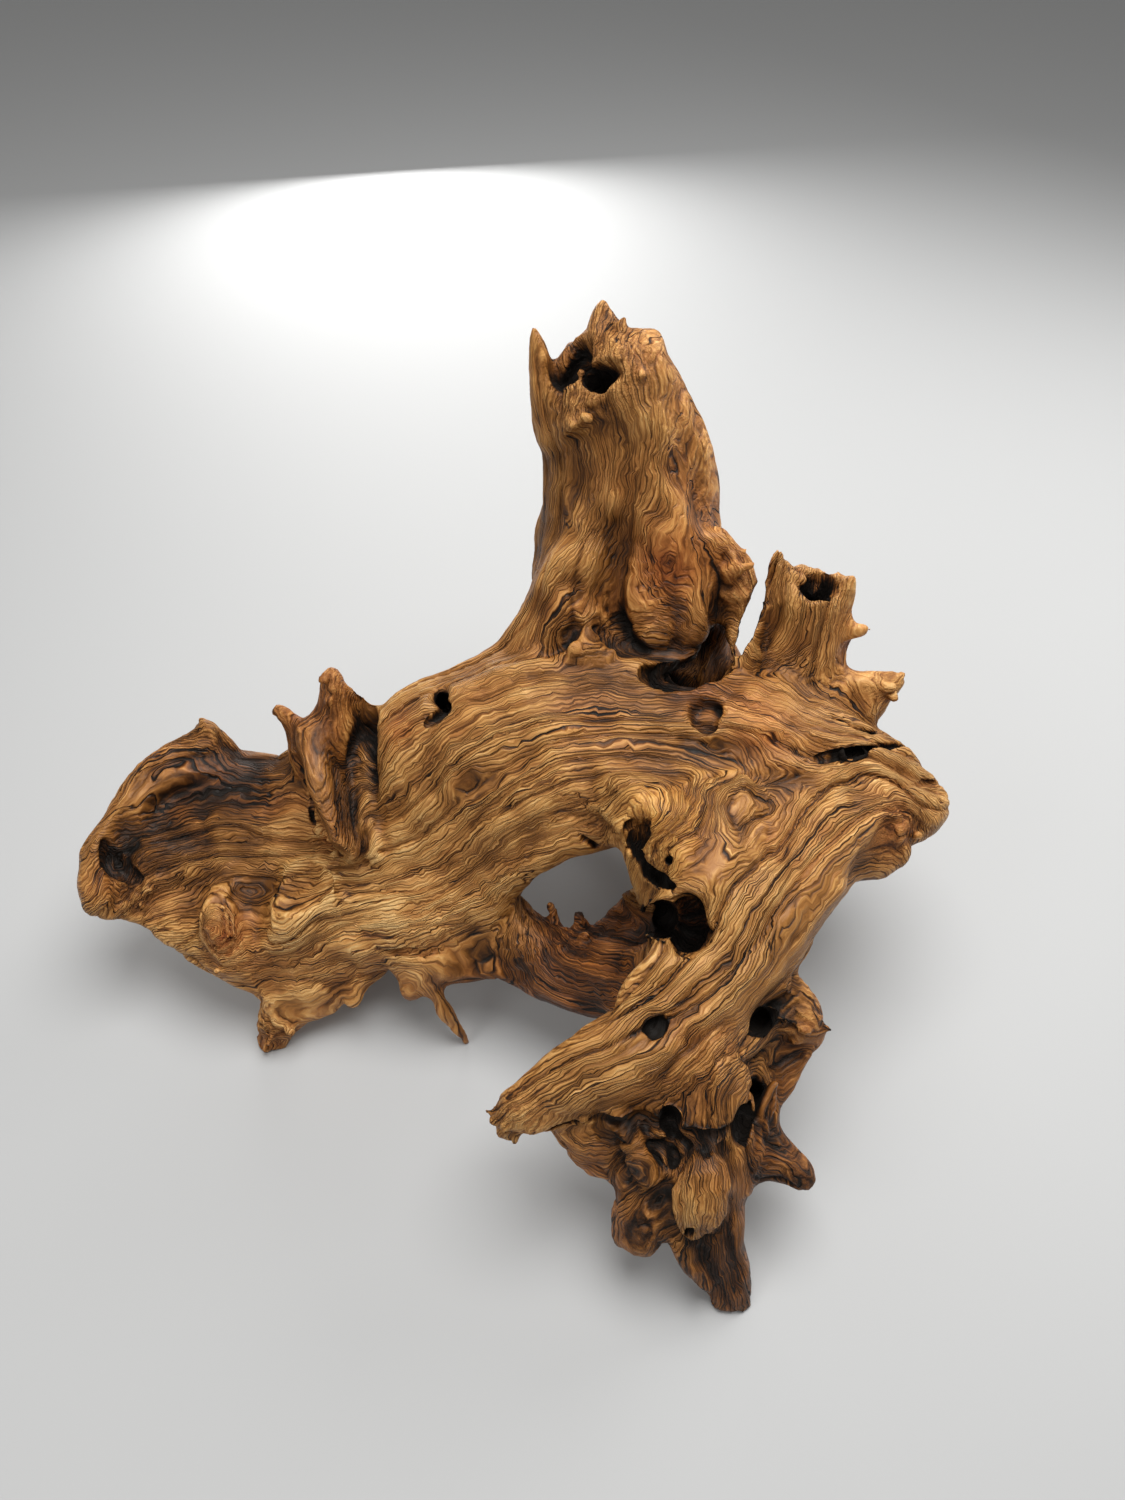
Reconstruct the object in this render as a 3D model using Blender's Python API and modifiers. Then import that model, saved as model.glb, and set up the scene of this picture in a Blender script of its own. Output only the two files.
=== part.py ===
"""A dried tree root, standing on its own legs, as one solid.

Metres, +Z up, the floor at z = 0. The front of the root looks along -Y.
"""

import math

import bmesh
import bpy
import numpy as np
from mathutils import Vector, noise

# Mesh sizes
SIDES = 28
RINGS_PER_SPAN = 7
DOME = (0.92, 0.72, 0.42)
CORE_VOXEL = 0.008
SKIN_VOXEL = 0.0065
HOLLOW_VOXEL = 0.004
CORE_SMOOTHING = 10
SKIN_SMOOTHING = 3
MOUTH_SMOOTHING = 2
TRIANGLES = 11500

# Relief: ridges along the grain, as a share of a limb's size, and lumps all over
RIDGE_ACROSS = 0.060
RIDGE_ALONG = 0.260
RIDGE_SHARE = 0.32
MOST_RIDGE = 0.015
LUMP_SIZE = 0.035
LUMP_HEIGHT = 0.006

# How the ridges of limbs that meet are blended, and how far apart limbs lie in the noise
BLEND = 0.010
NO_WEIGHT = 1e-9
LEAST_WEIGHT = 0.02
NOISE_STEP = 9.7

# Directions that the flat side of a limb faces
UP = (0.0, 0.0, 1.0)
FRONT = (0.0, -1.0, 0.0)
SLOPE = (0.0, -0.55, 0.83)
RIGHT = (1.0, 0.0, 0.15)

# Each limb is (flat side's direction, [(x, y, z, half width, half thickness), ...])
CORE_LIMBS = {
    "plate": (SLOPE, [
        (-0.505, 0.075, 0.175, 0.055, 0.026),
        (-0.450, 0.100, 0.165, 0.105, 0.028),
        (-0.380, 0.110, 0.165, 0.130, 0.032),
        (-0.290, 0.100, 0.175, 0.145, 0.036),
        (-0.200, 0.105, 0.205, 0.155, 0.040),
        (-0.120, 0.110, 0.245, 0.155, 0.044),
        (-0.040, 0.130, 0.310, 0.140, 0.050),
        (0.050, 0.140, 0.350, 0.130, 0.055),
        (0.150, 0.140, 0.355, 0.120, 0.055),
        (0.260, 0.135, 0.340, 0.105, 0.052),
        (0.370, 0.120, 0.315, 0.090, 0.046),
        (0.460, 0.110, 0.290, 0.065, 0.038),
        (0.505, 0.115, 0.280, 0.045, 0.028),
    ]),
    "shoulder": ((0.0, -0.7, 0.7), [
        (0.075, 0.280, 0.510, 0.040, 0.040),
        (0.040, 0.250, 0.400, 0.056, 0.046),
        (-0.030, 0.212, 0.338, 0.054, 0.040),
        (-0.110, 0.190, 0.296, 0.048, 0.036),
        (-0.185, 0.188, 0.278, 0.040, 0.030),
    ]),
    "arm": ((0.1, -0.6, 0.79), [
        (0.415, 0.098, 0.302, 0.058, 0.036),
        (0.350, 0.038, 0.302, 0.070, 0.042),
        (0.285, -0.035, 0.292, 0.078, 0.044),
        (0.235, -0.110, 0.268, 0.074, 0.044),
        (0.183, -0.162, 0.245, 0.066, 0.042),
        (0.125, -0.195, 0.230, 0.054, 0.038),
        (0.068, -0.215, 0.210, 0.042, 0.034),
        (0.020, -0.235, 0.190, 0.030, 0.028),
    ]),
    "boss": ((-0.2, -0.4, 0.9), [
        (0.200, 0.110, 0.335, 0.080, 0.044),
        (0.205, 0.040, 0.335, 0.090, 0.042),
        (0.215, -0.020, 0.310, 0.082, 0.044),
        (0.210, -0.080, 0.270, 0.066, 0.050),
        (0.205, -0.130, 0.240, 0.055, 0.046),
    ]),
    "trunk": (FRONT, [
        (0.135, 0.310, 0.300, 0.140, 0.075),
        (0.142, 0.320, 0.420, 0.126, 0.070),
        (0.140, 0.338, 0.520, 0.111, 0.060),
        (0.134, 0.352, 0.600, 0.097, 0.054),
        (0.124, 0.362, 0.660, 0.080, 0.050),
        (0.108, 0.372, 0.708, 0.062, 0.044),
    ]),
    "stub": (FRONT, [
        (0.345, 0.225, 0.300, 0.070, 0.055),
        (0.355, 0.262, 0.380, 0.058, 0.048),
        (0.357, 0.280, 0.430, 0.054, 0.042),
        (0.357, 0.286, 0.465, 0.050, 0.038),
    ]),
    "bridge": ((0.0, -0.7, 0.7), [
        (-0.160, 0.035, 0.150, 0.062, 0.034),
        (-0.110, 0.010, 0.135, 0.054, 0.032),
        (-0.067, 0.000, 0.130, 0.040, 0.030),
        (-0.017, 0.012, 0.140, 0.053, 0.032),
        (0.039, -0.021, 0.142, 0.048, 0.032),
        (0.093, -0.052, 0.158, 0.048, 0.034),
        (0.149, -0.085, 0.190, 0.050, 0.038),
        (0.205, -0.120, 0.225, 0.055, 0.044),
    ]),
    "taproot": (FRONT, [
        (0.130, 0.300, 0.330, 0.120, 0.070),
        (0.110, 0.335, 0.250, 0.085, 0.060),
        (0.135, 0.350, 0.170, 0.060, 0.052),
        (0.115, 0.365, 0.085, 0.052, 0.044),
        (0.085, 0.395, 0.020, 0.052, 0.044),
        (0.078, 0.404, -0.020, 0.054, 0.046),
    ]),
    "right_leg": (FRONT, [
        (0.330, 0.170, 0.320, 0.060, 0.055),
        (0.358, 0.235, 0.240, 0.046, 0.045),
        (0.325, 0.275, 0.155, 0.036, 0.034),
        (0.345, 0.295, 0.080, 0.032, 0.030),
        (0.378, 0.325, 0.015, 0.036, 0.032),
        (0.388, 0.338, -0.020, 0.036, 0.032),
    ]),
    "left_leg": (FRONT, [
        (-0.130, 0.180, 0.250, 0.070, 0.055),
        (-0.142, 0.235, 0.170, 0.046, 0.042),
        (-0.185, 0.258, 0.100, 0.036, 0.034),
        (-0.192, 0.285, 0.035, 0.033, 0.030),
        (-0.212, 0.306, -0.020, 0.035, 0.031),
    ]),
    "front_leg": ((0.3, -0.8, 0.5), [
        (-0.205, 0.045, 0.165, 0.110, 0.034),
        (-0.240, 0.010, 0.120, 0.086, 0.030),
        (-0.272, -0.020, 0.075, 0.056, 0.026),
        (-0.303, -0.045, 0.030, 0.032, 0.022),
        (-0.322, -0.060, -0.015, 0.022, 0.018),
    ]),
    "foot": (FRONT, [
        (0.200, -0.195, 0.225, 0.055, 0.038),
        (0.205, -0.240, 0.175, 0.072, 0.042),
        (0.208, -0.280, 0.125, 0.066, 0.042),
        (0.222, -0.320, 0.070, 0.046, 0.034),
        (0.240, -0.352, 0.025, 0.032, 0.026),
        (0.250, -0.368, -0.015, 0.026, 0.022),
    ]),
}

DETAIL_LIMBS = {
    "dish_rim": ((-0.4, 0.3, 0.85), [
        (-0.512, 0.040, 0.175, 0.018, 0.022),
        (-0.515, 0.090, 0.205, 0.022, 0.022),
        (-0.492, 0.145, 0.228, 0.026, 0.022),
        (-0.452, 0.188, 0.240, 0.030, 0.022),
        (-0.400, 0.210, 0.242, 0.035, 0.022),
        (-0.345, 0.215, 0.230, 0.030, 0.020),
        (-0.285, 0.200, 0.230, 0.030, 0.022),
    ]),
    "dish_peak": (SLOPE, [
        (-0.395, 0.190, 0.225, 0.055, 0.022),
        (-0.397, 0.222, 0.255, 0.034, 0.017),
        (-0.399, 0.243, 0.280, 0.014, 0.011),
    ]),
    "dish_low_peak": (SLOPE, [
        (-0.465, 0.172, 0.230, 0.026, 0.016),
        (-0.467, 0.195, 0.253, 0.010, 0.009),
    ]),
    "prong": (FRONT, [
        (-0.212, 0.160, 0.240, 0.060, 0.036),
        (-0.213, 0.186, 0.305, 0.044, 0.026),
        (-0.216, 0.204, 0.355, 0.026, 0.019),
        (-0.218, 0.213, 0.397, 0.015, 0.013),
    ]),
    "right_prong": (FRONT, [
        (-0.165, 0.180, 0.265, 0.040, 0.026),
        (-0.182, 0.205, 0.330, 0.024, 0.018),
        (-0.192, 0.214, 0.368, 0.012, 0.011),
    ]),
    "left_prong": (FRONT, [
        (-0.242, 0.168, 0.255, 0.034, 0.024),
        (-0.262, 0.186, 0.312, 0.019, 0.016),
        (-0.286, 0.199, 0.356, 0.010, 0.010),
    ]),
    "blade": ((1.0, 0.0, 0.2), [
        (-0.238, 0.185, 0.315, 0.045, 0.022),
        (-0.222, 0.120, 0.280, 0.045, 0.020),
        (-0.198, 0.060, 0.252, 0.026, 0.014),
    ]),
    "left_horn": (FRONT, [
        (0.050, 0.355, 0.640, 0.026, 0.024),
        (0.037, 0.363, 0.710, 0.018, 0.017),
        (0.028, 0.368, 0.755, 0.009, 0.009),
    ]),
    "spike": (FRONT, [
        (0.106, 0.378, 0.690, 0.034, 0.026),
        (0.105, 0.388, 0.735, 0.024, 0.020),
        (0.103, 0.394, 0.765, 0.012, 0.012),
    ]),
    "right_horn": (FRONT, [
        (0.150, 0.370, 0.690, 0.034, 0.030),
        (0.153, 0.376, 0.728, 0.022, 0.020),
    ]),
    "throat_rim": (FRONT, [
        (0.238, 0.290, 0.540, 0.018, 0.020),
        (0.262, 0.282, 0.490, 0.022, 0.024),
        (0.274, 0.265, 0.440, 0.022, 0.026),
        (0.270, 0.235, 0.390, 0.028, 0.026),
    ]),
    "throat_nub": (FRONT, [
        (0.262, 0.275, 0.475, 0.018, 0.018),
        (0.280, 0.258, 0.472, 0.009, 0.009),
    ]),
    "crotch_burl": (FRONT, [
        (0.080, 0.262, 0.440, 0.040, 0.034),
        (0.088, 0.238, 0.445, 0.034, 0.026),
    ]),
    "stub_left_horn": (FRONT, [
        (0.318, 0.280, 0.450, 0.022, 0.020),
        (0.314, 0.284, 0.490, 0.017, 0.015),
        (0.310, 0.286, 0.520, 0.010, 0.010),
    ]),
    "stub_right_horn": (FRONT, [
        (0.390, 0.275, 0.460, 0.018, 0.018),
        (0.400, 0.270, 0.500, 0.009, 0.009),
    ]),
    "stub_heel": (FRONT, [
        (0.395, 0.225, 0.320, 0.045, 0.042),
        (0.435, 0.232, 0.350, 0.036, 0.034),
        (0.468, 0.236, 0.366, 0.016, 0.016),
    ]),
    "stub_nub": (FRONT, [
        (0.398, 0.258, 0.428, 0.018, 0.016),
        (0.428, 0.248, 0.440, 0.008, 0.008),
    ]),
    "nose_heel": (SLOPE, [
        (0.400, 0.180, 0.310, 0.035, 0.030),
        (0.445, 0.175, 0.310, 0.028, 0.024),
        (0.475, 0.172, 0.308, 0.014, 0.014),
    ]),
    "nose_chin": ((0.5, -0.5, 0.7), [
        (0.365, 0.052, 0.285, 0.048, 0.034),
        (0.420, 0.045, 0.268, 0.034, 0.028),
        (0.450, 0.052, 0.258, 0.020, 0.020),
    ]),
    "knob": ((0.6, -0.3, 0.7), [
        (0.260, -0.120, 0.240, 0.034, 0.030),
        (0.300, -0.126, 0.224, 0.034, 0.028),
        (0.328, -0.138, 0.206, 0.025, 0.022),
        (0.346, -0.148, 0.190, 0.013, 0.013),
    ]),
    "fin": ((-0.5, -0.8, 0.3), [
        (0.332, -0.142, 0.195, 0.024, 0.013),
        (0.306, -0.157, 0.172, 0.034, 0.013),
        (0.284, -0.178, 0.152, 0.038, 0.015),
        (0.264, -0.202, 0.135, 0.040, 0.018),
        (0.245, -0.230, 0.125, 0.040, 0.022),
    ]),
    "right_lobe": (FRONT, [
        (0.255, -0.245, 0.135, 0.036, 0.030),
        (0.296, -0.260, 0.120, 0.026, 0.025),
        (0.318, -0.272, 0.112, 0.016, 0.016),
    ]),
    "right_spur": ((-0.7, -0.6, 0.3), [
        (0.262, -0.262, 0.125, 0.034, 0.018),
        (0.276, -0.240, 0.150, 0.022, 0.014),
        (0.289, -0.216, 0.172, 0.009, 0.009),
    ]),
    "shell": (FRONT, [
        (0.200, -0.250, 0.190, 0.028, 0.024),
        (0.205, -0.296, 0.163, 0.034, 0.024),
        (0.208, -0.320, 0.138, 0.022, 0.018),
    ]),
    "left_lobe": (FRONT, [
        (0.175, -0.285, 0.120, 0.044, 0.036),
        (0.148, -0.306, 0.096, 0.040, 0.034),
        (0.142, -0.324, 0.076, 0.032, 0.028),
    ]),
    "hanging_lobe": (FRONT, [
        (0.070, -0.205, 0.195, 0.040, 0.030),
        (0.080, -0.238, 0.155, 0.034, 0.026),
        (0.094, -0.266, 0.118, 0.020, 0.018),
    ]),
    "claw": (FRONT, [
        (0.005, -0.230, 0.190, 0.026, 0.022),
        (-0.002, -0.245, 0.176, 0.016, 0.016),
        (0.012, -0.262, 0.160, 0.010, 0.010),
    ]),
    "web": (FRONT, [
        (0.150, -0.215, 0.190, 0.050, 0.024),
        (0.120, -0.245, 0.155, 0.034, 0.022),
        (0.135, -0.275, 0.125, 0.028, 0.022),
    ]),
    "second_tooth": (FRONT, [
        (-0.235, 0.005, 0.105, 0.022, 0.018),
        (-0.233, -0.032, 0.045, 0.010, 0.010),
    ]),
    "third_tooth": (FRONT, [
        (-0.200, 0.000, 0.110, 0.024, 0.018),
        (-0.203, -0.036, 0.068, 0.010, 0.010),
    ]),
    "stick": (UP, [
        (-0.112, -0.020, 0.125, 0.015, 0.012),
        (-0.085, -0.045, 0.060, 0.011, 0.009),
        (-0.060, -0.056, -0.010, 0.011, 0.009),
    ]),
    "cross_root": (UP, [
        (0.335, 0.265, 0.170, 0.030, 0.026),
        (0.265, 0.305, 0.125, 0.024, 0.022),
        (0.190, 0.330, 0.130, 0.026, 0.022),
        (0.125, 0.350, 0.160, 0.036, 0.030),
    ]),
    "back_root": (FRONT, [
        (0.090, 0.340, 0.260, 0.045, 0.040),
        (0.030, 0.375, 0.195, 0.034, 0.030),
        (-0.020, 0.385, 0.130, 0.026, 0.024),
        (-0.045, 0.400, 0.090, 0.015, 0.014),
    ]),
    "under_root": (UP, [
        (-0.150, 0.240, 0.150, 0.034, 0.030),
        (-0.235, 0.215, 0.115, 0.028, 0.024),
        (-0.305, 0.165, 0.120, 0.024, 0.020),
        (-0.350, 0.120, 0.150, 0.026, 0.022),
    ]),
    "belly": (FRONT, [
        (0.150, 0.330, 0.630, 0.030, 0.030),
        (0.170, 0.305, 0.560, 0.044, 0.036),
        (0.188, 0.280, 0.500, 0.050, 0.036),
        (0.198, 0.258, 0.445, 0.046, 0.034),
        (0.202, 0.250, 0.418, 0.030, 0.026),
    ]),
    "trunk_ridge": (FRONT, [
        (0.125, 0.325, 0.640, 0.016, 0.020),
        (0.106, 0.303, 0.580, 0.022, 0.022),
        (0.069, 0.298, 0.520, 0.026, 0.024),
        (0.042, 0.268, 0.450, 0.028, 0.024),
        (-0.035, 0.222, 0.360, 0.030, 0.024),
    ]),
    "front_lip": (FRONT, [
        (0.068, 0.328, 0.650, 0.016, 0.014),
        (0.088, 0.338, 0.676, 0.022, 0.014),
        (0.120, 0.340, 0.672, 0.022, 0.014),
    ]),
    "lip_nub": (FRONT, [
        (0.075, 0.325, 0.668, 0.012, 0.014),
        (0.066, 0.308, 0.672, 0.009, 0.010),
    ]),
    "fourth_tooth": (FRONT, [
        (-0.125, -0.010, 0.120, 0.024, 0.018),
        (-0.130, -0.036, 0.086, 0.012, 0.012),
    ]),
    "flake": (SLOPE, [
        (-0.366, 0.055, 0.180, 0.022, 0.014),
        (-0.360, 0.020, 0.166, 0.030, 0.016),
        (-0.340, -0.018, 0.124, 0.022, 0.014),
    ]),
    "ledge": (SLOPE, [
        (-0.440, 0.050, 0.135, 0.030, 0.016),
        (-0.385, 0.010, 0.120, 0.034, 0.018),
        (-0.320, -0.010, 0.095, 0.034, 0.020),
    ]),
    "dish_wall": (SLOPE, [
        (-0.470, 0.110, 0.200, 0.016, 0.020),
        (-0.435, 0.125, 0.192, 0.018, 0.018),
        (-0.415, 0.170, 0.205, 0.016, 0.018),
        (-0.400, 0.205, 0.235, 0.016, 0.018),
    ]),
    "boss_burl": ((-0.2, -0.4, 0.9), [
        (0.130, 0.055, 0.350, 0.040, 0.034),
        (0.160, 0.020, 0.352, 0.046, 0.034),
        (0.185, -0.012, 0.335, 0.040, 0.030),
    ]),
    "back_web": (FRONT, [
        (0.250, -0.120, 0.240, 0.050, 0.034),
        (0.240, -0.175, 0.180, 0.054, 0.034),
        (0.230, -0.225, 0.130, 0.050, 0.030),
    ]),
    "scoop_wall": (UP, [
        (0.120, -0.020, 0.170, 0.040, 0.030),
        (0.170, -0.010, 0.205, 0.050, 0.036),
        (0.215, 0.010, 0.250, 0.050, 0.040),
    ]),
    "back_rib": ((0.3, 1.0, 0.2), [
        (0.100, 0.395, 0.690, 0.018, 0.016),
        (0.085, 0.400, 0.600, 0.022, 0.020),
        (0.065, 0.392, 0.500, 0.026, 0.024),
        (0.060, 0.372, 0.400, 0.030, 0.028),
        (0.045, 0.365, 0.300, 0.034, 0.030),
        (0.090, 0.375, 0.200, 0.030, 0.028),
    ]),
    "back_right_rib": ((0.3, 1.0, 0.2), [
        (0.160, 0.395, 0.640, 0.016, 0.015),
        (0.195, 0.392, 0.540, 0.024, 0.020),
        (0.220, 0.380, 0.440, 0.028, 0.024),
        (0.235, 0.350, 0.350, 0.032, 0.028),
        (0.290, 0.310, 0.280, 0.034, 0.030),
        (0.330, 0.280, 0.200, 0.026, 0.024),
    ]),
    "back_knot": ((0.0, 1.0, 0.3), [
        (0.205, 0.360, 0.400, 0.036, 0.034),
        (0.212, 0.398, 0.418, 0.024, 0.024),
        (0.215, 0.412, 0.428, 0.012, 0.012),
    ]),
    "plate_keel": (UP, [
        (-0.420, 0.130, 0.150, 0.030, 0.022),
        (-0.320, 0.150, 0.150, 0.036, 0.028),
        (-0.220, 0.180, 0.180, 0.040, 0.034),
        (-0.120, 0.200, 0.230, 0.044, 0.038),
        (-0.020, 0.230, 0.280, 0.050, 0.044),
        (0.070, 0.280, 0.310, 0.055, 0.050),
    ]),
    "slab_keel": (UP, [
        (0.110, 0.260, 0.300, 0.055, 0.050),
        (0.200, 0.200, 0.290, 0.050, 0.044),
        (0.290, 0.140, 0.280, 0.045, 0.040),
        (0.360, 0.090, 0.270, 0.036, 0.032),
        (0.420, 0.080, 0.262, 0.024, 0.022),
    ]),
}

# Spaces taken out of the wood, in the same form
HOLLOWS = {
    "throat": (UP, [
        (0.150, 0.215, 0.402, 0.020, 0.012),
        (0.185, 0.232, 0.394, 0.038, 0.019),
        (0.225, 0.248, 0.390, 0.046, 0.026),
        (0.258, 0.262, 0.396, 0.030, 0.020),
    ]),
    "trunk_top": (FRONT, [
        (0.066, 0.362, 0.790, 0.020, 0.018),
        (0.070, 0.360, 0.720, 0.026, 0.020),
        (0.090, 0.356, 0.685, 0.026, 0.015),
        (0.104, 0.354, 0.655, 0.012, 0.009),
    ]),
    "stub_top": (FRONT, [
        (0.362, 0.273, 0.520, 0.028, 0.020),
        (0.360, 0.275, 0.470, 0.026, 0.018),
        (0.358, 0.280, 0.430, 0.014, 0.010),
    ]),
    "arm_hollow": (FRONT, [
        (0.196, -0.098, 0.345, 0.024, 0.036),
        (0.195, -0.072, 0.285, 0.026, 0.032),
        (0.192, -0.060, 0.250, 0.022, 0.024),
    ]),
    "boss_pit": ((0.0, -0.6, 0.8), [
        (0.136, 0.006, 0.400, 0.022, 0.013),
        (0.146, 0.000, 0.350, 0.020, 0.011),
        (0.152, -0.002, 0.322, 0.012, 0.007),
    ]),
    "den": (RIGHT, [
        (-0.184, 0.200, 0.370, 0.024, 0.016),
        (-0.178, 0.165, 0.305, 0.034, 0.022),
        (-0.172, 0.120, 0.262, 0.030, 0.016),
        (-0.168, 0.085, 0.250, 0.014, 0.008),
    ]),
    "back_hole": (FRONT, [
        (-0.080, 0.165, 0.420, 0.012, 0.016),
        (-0.084, 0.205, 0.335, 0.012, 0.016),
        (-0.092, 0.255, 0.240, 0.014, 0.018),
    ]),
    "left_pocket": (FRONT, [
        (-0.478, 0.115, 0.240, 0.022, 0.018),
        (-0.488, 0.078, 0.200, 0.019, 0.015),
    ]),
    "arm_eye": (FRONT, [
        (0.152, -0.190, 0.310, 0.010, 0.010),
        (0.155, -0.178, 0.258, 0.009, 0.009),
        (0.157, -0.170, 0.235, 0.007, 0.007),
    ]),
    "crown_hollow": (SLOPE, [
        (0.205, 0.125, 0.440, 0.018, 0.014),
        (0.225, 0.140, 0.400, 0.022, 0.014),
        (0.250, 0.150, 0.375, 0.012, 0.010),
    ]),
    "throat_pit": (FRONT, [
        (0.240, 0.200, 0.435, 0.018, 0.018),
        (0.243, 0.235, 0.428, 0.017, 0.018),
        (0.244, 0.270, 0.420, 0.012, 0.012),
    ]),
    "throat_valley": (FRONT, [
        (0.236, 0.270, 0.590, 0.012, 0.012),
        (0.244, 0.255, 0.520, 0.016, 0.020),
        (0.246, 0.240, 0.460, 0.018, 0.020),
    ]),
    "fin_hollow": (FRONT, [
        (0.268, -0.235, 0.195, 0.014, 0.014),
        (0.266, -0.215, 0.170, 0.018, 0.018),
        (0.262, -0.198, 0.152, 0.013, 0.013),
    ]),
    "under_arm": (UP, [
        (0.240, -0.312, 0.176, 0.014, 0.010),
        (0.202, -0.292, 0.186, 0.028, 0.018),
        (0.160, -0.272, 0.172, 0.016, 0.010),
    ]),
    "back_groove": (FRONT, [
        (0.125, 0.425, 0.660, 0.016, 0.016),
        (0.140, 0.412, 0.560, 0.026, 0.026),
        (0.142, 0.398, 0.460, 0.034, 0.032),
        (0.140, 0.392, 0.360, 0.036, 0.034),
        (0.165, 0.380, 0.290, 0.024, 0.020),
    ]),
    "back_hollow": (UP, [
        (0.000, 0.370, 0.440, 0.020, 0.026),
        (0.030, 0.320, 0.415, 0.018, 0.022),
        (0.050, 0.290, 0.400, 0.012, 0.012),
    ]),
}

ROOT_COLOUR = (0.30, 0.15, 0.06, 1.0)
ROOT_ROUGHNESS = 0.55


def clear_scene():
    for obj in list(bpy.data.objects):
        bpy.data.objects.remove(obj)


def collection(name):
    made = bpy.data.collections.new(name)
    bpy.context.scene.collection.children.link(made)
    return made


def unit(rows):
    return rows / np.linalg.norm(rows, axis=-1, keepdims=True)


def spline(stations):
    """Rows along a Catmull-Rom curve through the stations, with their half sizes."""
    rows = np.array(stations, float)
    rows = np.vstack([2 * rows[0] - rows[1], rows, 2 * rows[-1] - rows[-2]])
    steps = np.arange(RINGS_PER_SPAN) / RINGS_PER_SPAN
    along = [0.5 * (2 * b + (c - a) * t + (2 * a - 5 * b + 4 * c - d) * t**2
                    + (3 * b - a - 3 * c + d) * t**3)
             for a, b, c, d in zip(rows, rows[1:], rows[2:], rows[3:]) for t in steps]
    return np.array(along + [rows[-2]])


def limb_frame(flat_side, stations):
    """The centres, tangents, width and thickness directions and half sizes along a limb."""
    rows = spline(stations)
    centres = rows[:, :3]
    tangents = unit(np.gradient(centres, axis=0))
    across = unit(np.cross(flat_side, tangents))
    return centres, tangents, across, np.cross(tangents, across), rows[:, 3:]


def add_limb(build, flat_side, stations):
    """Adds a closed tube of elliptical sections with domed ends."""
    centres, tangents, across, out, halves = limb_frame(flat_side, stations)
    angles = np.arange(SIDES) * math.tau / SIDES
    rings = []

    def add_ring(k, share, ahead):
        centre = centres[k] + tangents[k] * ahead
        width, thickness = halves[k] * share
        rings.append([build.verts.new(centre + width * math.cos(a) * across[k]
                                      + thickness * math.sin(a) * out[k]) for a in angles])

    for share in reversed(DOME):
        add_ring(0, share, -math.sqrt(1 - share**2) * halves[0, 1])
    for k in range(len(centres)):
        add_ring(k, 1.0, 0.0)
    for share in DOME:
        add_ring(-1, share, math.sqrt(1 - share**2) * halves[-1, 1])
    for low, high in zip(rings, rings[1:]):
        for i in range(SIDES):
            j = (i + 1) % SIDES
            build.faces.new((low[i], low[j], high[j], high[i]))
    build.faces.new(rings[0][::-1])
    build.faces.new(rings[-1])


def limbs_object(name, limbs, place, base=None):
    """One object of all the limbs, and of the base mesh if there is one, still overlapping."""
    build = bmesh.new()
    for flat_side, stations in limbs.values():
        add_limb(build, flat_side, stations)
    bmesh.ops.recalc_face_normals(build, faces=build.faces)
    if base:
        build.from_mesh(base)
    mesh = bpy.data.meshes.new(name)
    build.to_mesh(mesh)
    build.free()
    obj = bpy.data.objects.new(name, mesh)
    place.objects.link(obj)
    return obj


def apply_modifiers(obj):
    """Puts the evaluated mesh in place of the mesh and its modifiers."""
    graph = bpy.context.evaluated_depsgraph_get()
    mesh = bpy.data.meshes.new_from_object(obj.evaluated_get(graph))
    obj.modifiers.clear()
    obj.data = mesh


def fuse(obj, voxel, smoothing):
    """Joins what overlaps by a voxel remesh and softens the joins."""
    remesh = obj.modifiers.new("fuse", "REMESH")
    remesh.mode = "VOXEL"
    remesh.voxel_size = voxel
    soften = obj.modifiers.new("soften", "SMOOTH")
    soften.factor = 0.5
    soften.iterations = smoothing
    apply_modifiers(obj)


def hollow_out(root, cutter):
    """Takes the hollows out of the root and softens their mouths."""
    cutter.hide_render = True
    cutter.display_type = "WIRE"
    cut = root.modifiers.new("hollow out", "BOOLEAN")
    cut.operation = "DIFFERENCE"
    cut.object = cutter
    apply_modifiers(root)
    fuse(root, SKIN_VOXEL, MOUTH_SMOOTHING)


def vertex_array(mesh, attribute):
    values = np.empty(len(mesh.vertices) * 3)
    mesh.vertices.foreach_get(attribute, values)
    return values.reshape(-1, 3)


def limb_relief(points, number, flat_side, stations):
    """The height of one limb's ridges at each point, and how near its skin each point is."""
    centres, tangents, across, out, halves = limb_frame(flat_side, stations)
    steps = np.linalg.norm(np.diff(centres, axis=0), axis=1)
    travelled = np.concatenate([[0], np.cumsum(steps)])
    nearest = np.argmin(np.linalg.norm(points[:, None] - centres[None], axis=2), axis=1)
    offset = points - centres[nearest]
    ahead = (offset * tangents[nearest]).sum(1)
    sideways = (offset * across[nearest]).sum(1)
    outward = (offset * out[nearest]).sum(1)
    width, thickness = halves[nearest].T
    size = np.sqrt(width * thickness)
    radius = np.sqrt((sideways / width)**2 + (outward / thickness)**2 + (ahead / thickness)**2)
    weight = np.exp(-np.abs(radius - 1) * size / BLEND) + NO_WEIGHT
    places = np.column_stack([(travelled[nearest] + ahead) / RIDGE_ALONG,
                              sideways / RIDGE_ACROSS,
                              outward / RIDGE_ACROSS + NOISE_STEP * number])
    height = np.zeros(len(points))
    for i in np.nonzero(weight > LEAST_WEIGHT)[0]:
        place = Vector(places[i])
        height[i] = noise.noise(place) + 0.5 * noise.noise(place * 2.1)
    return height * np.minimum(RIDGE_SHARE * size, MOST_RIDGE), weight


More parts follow.
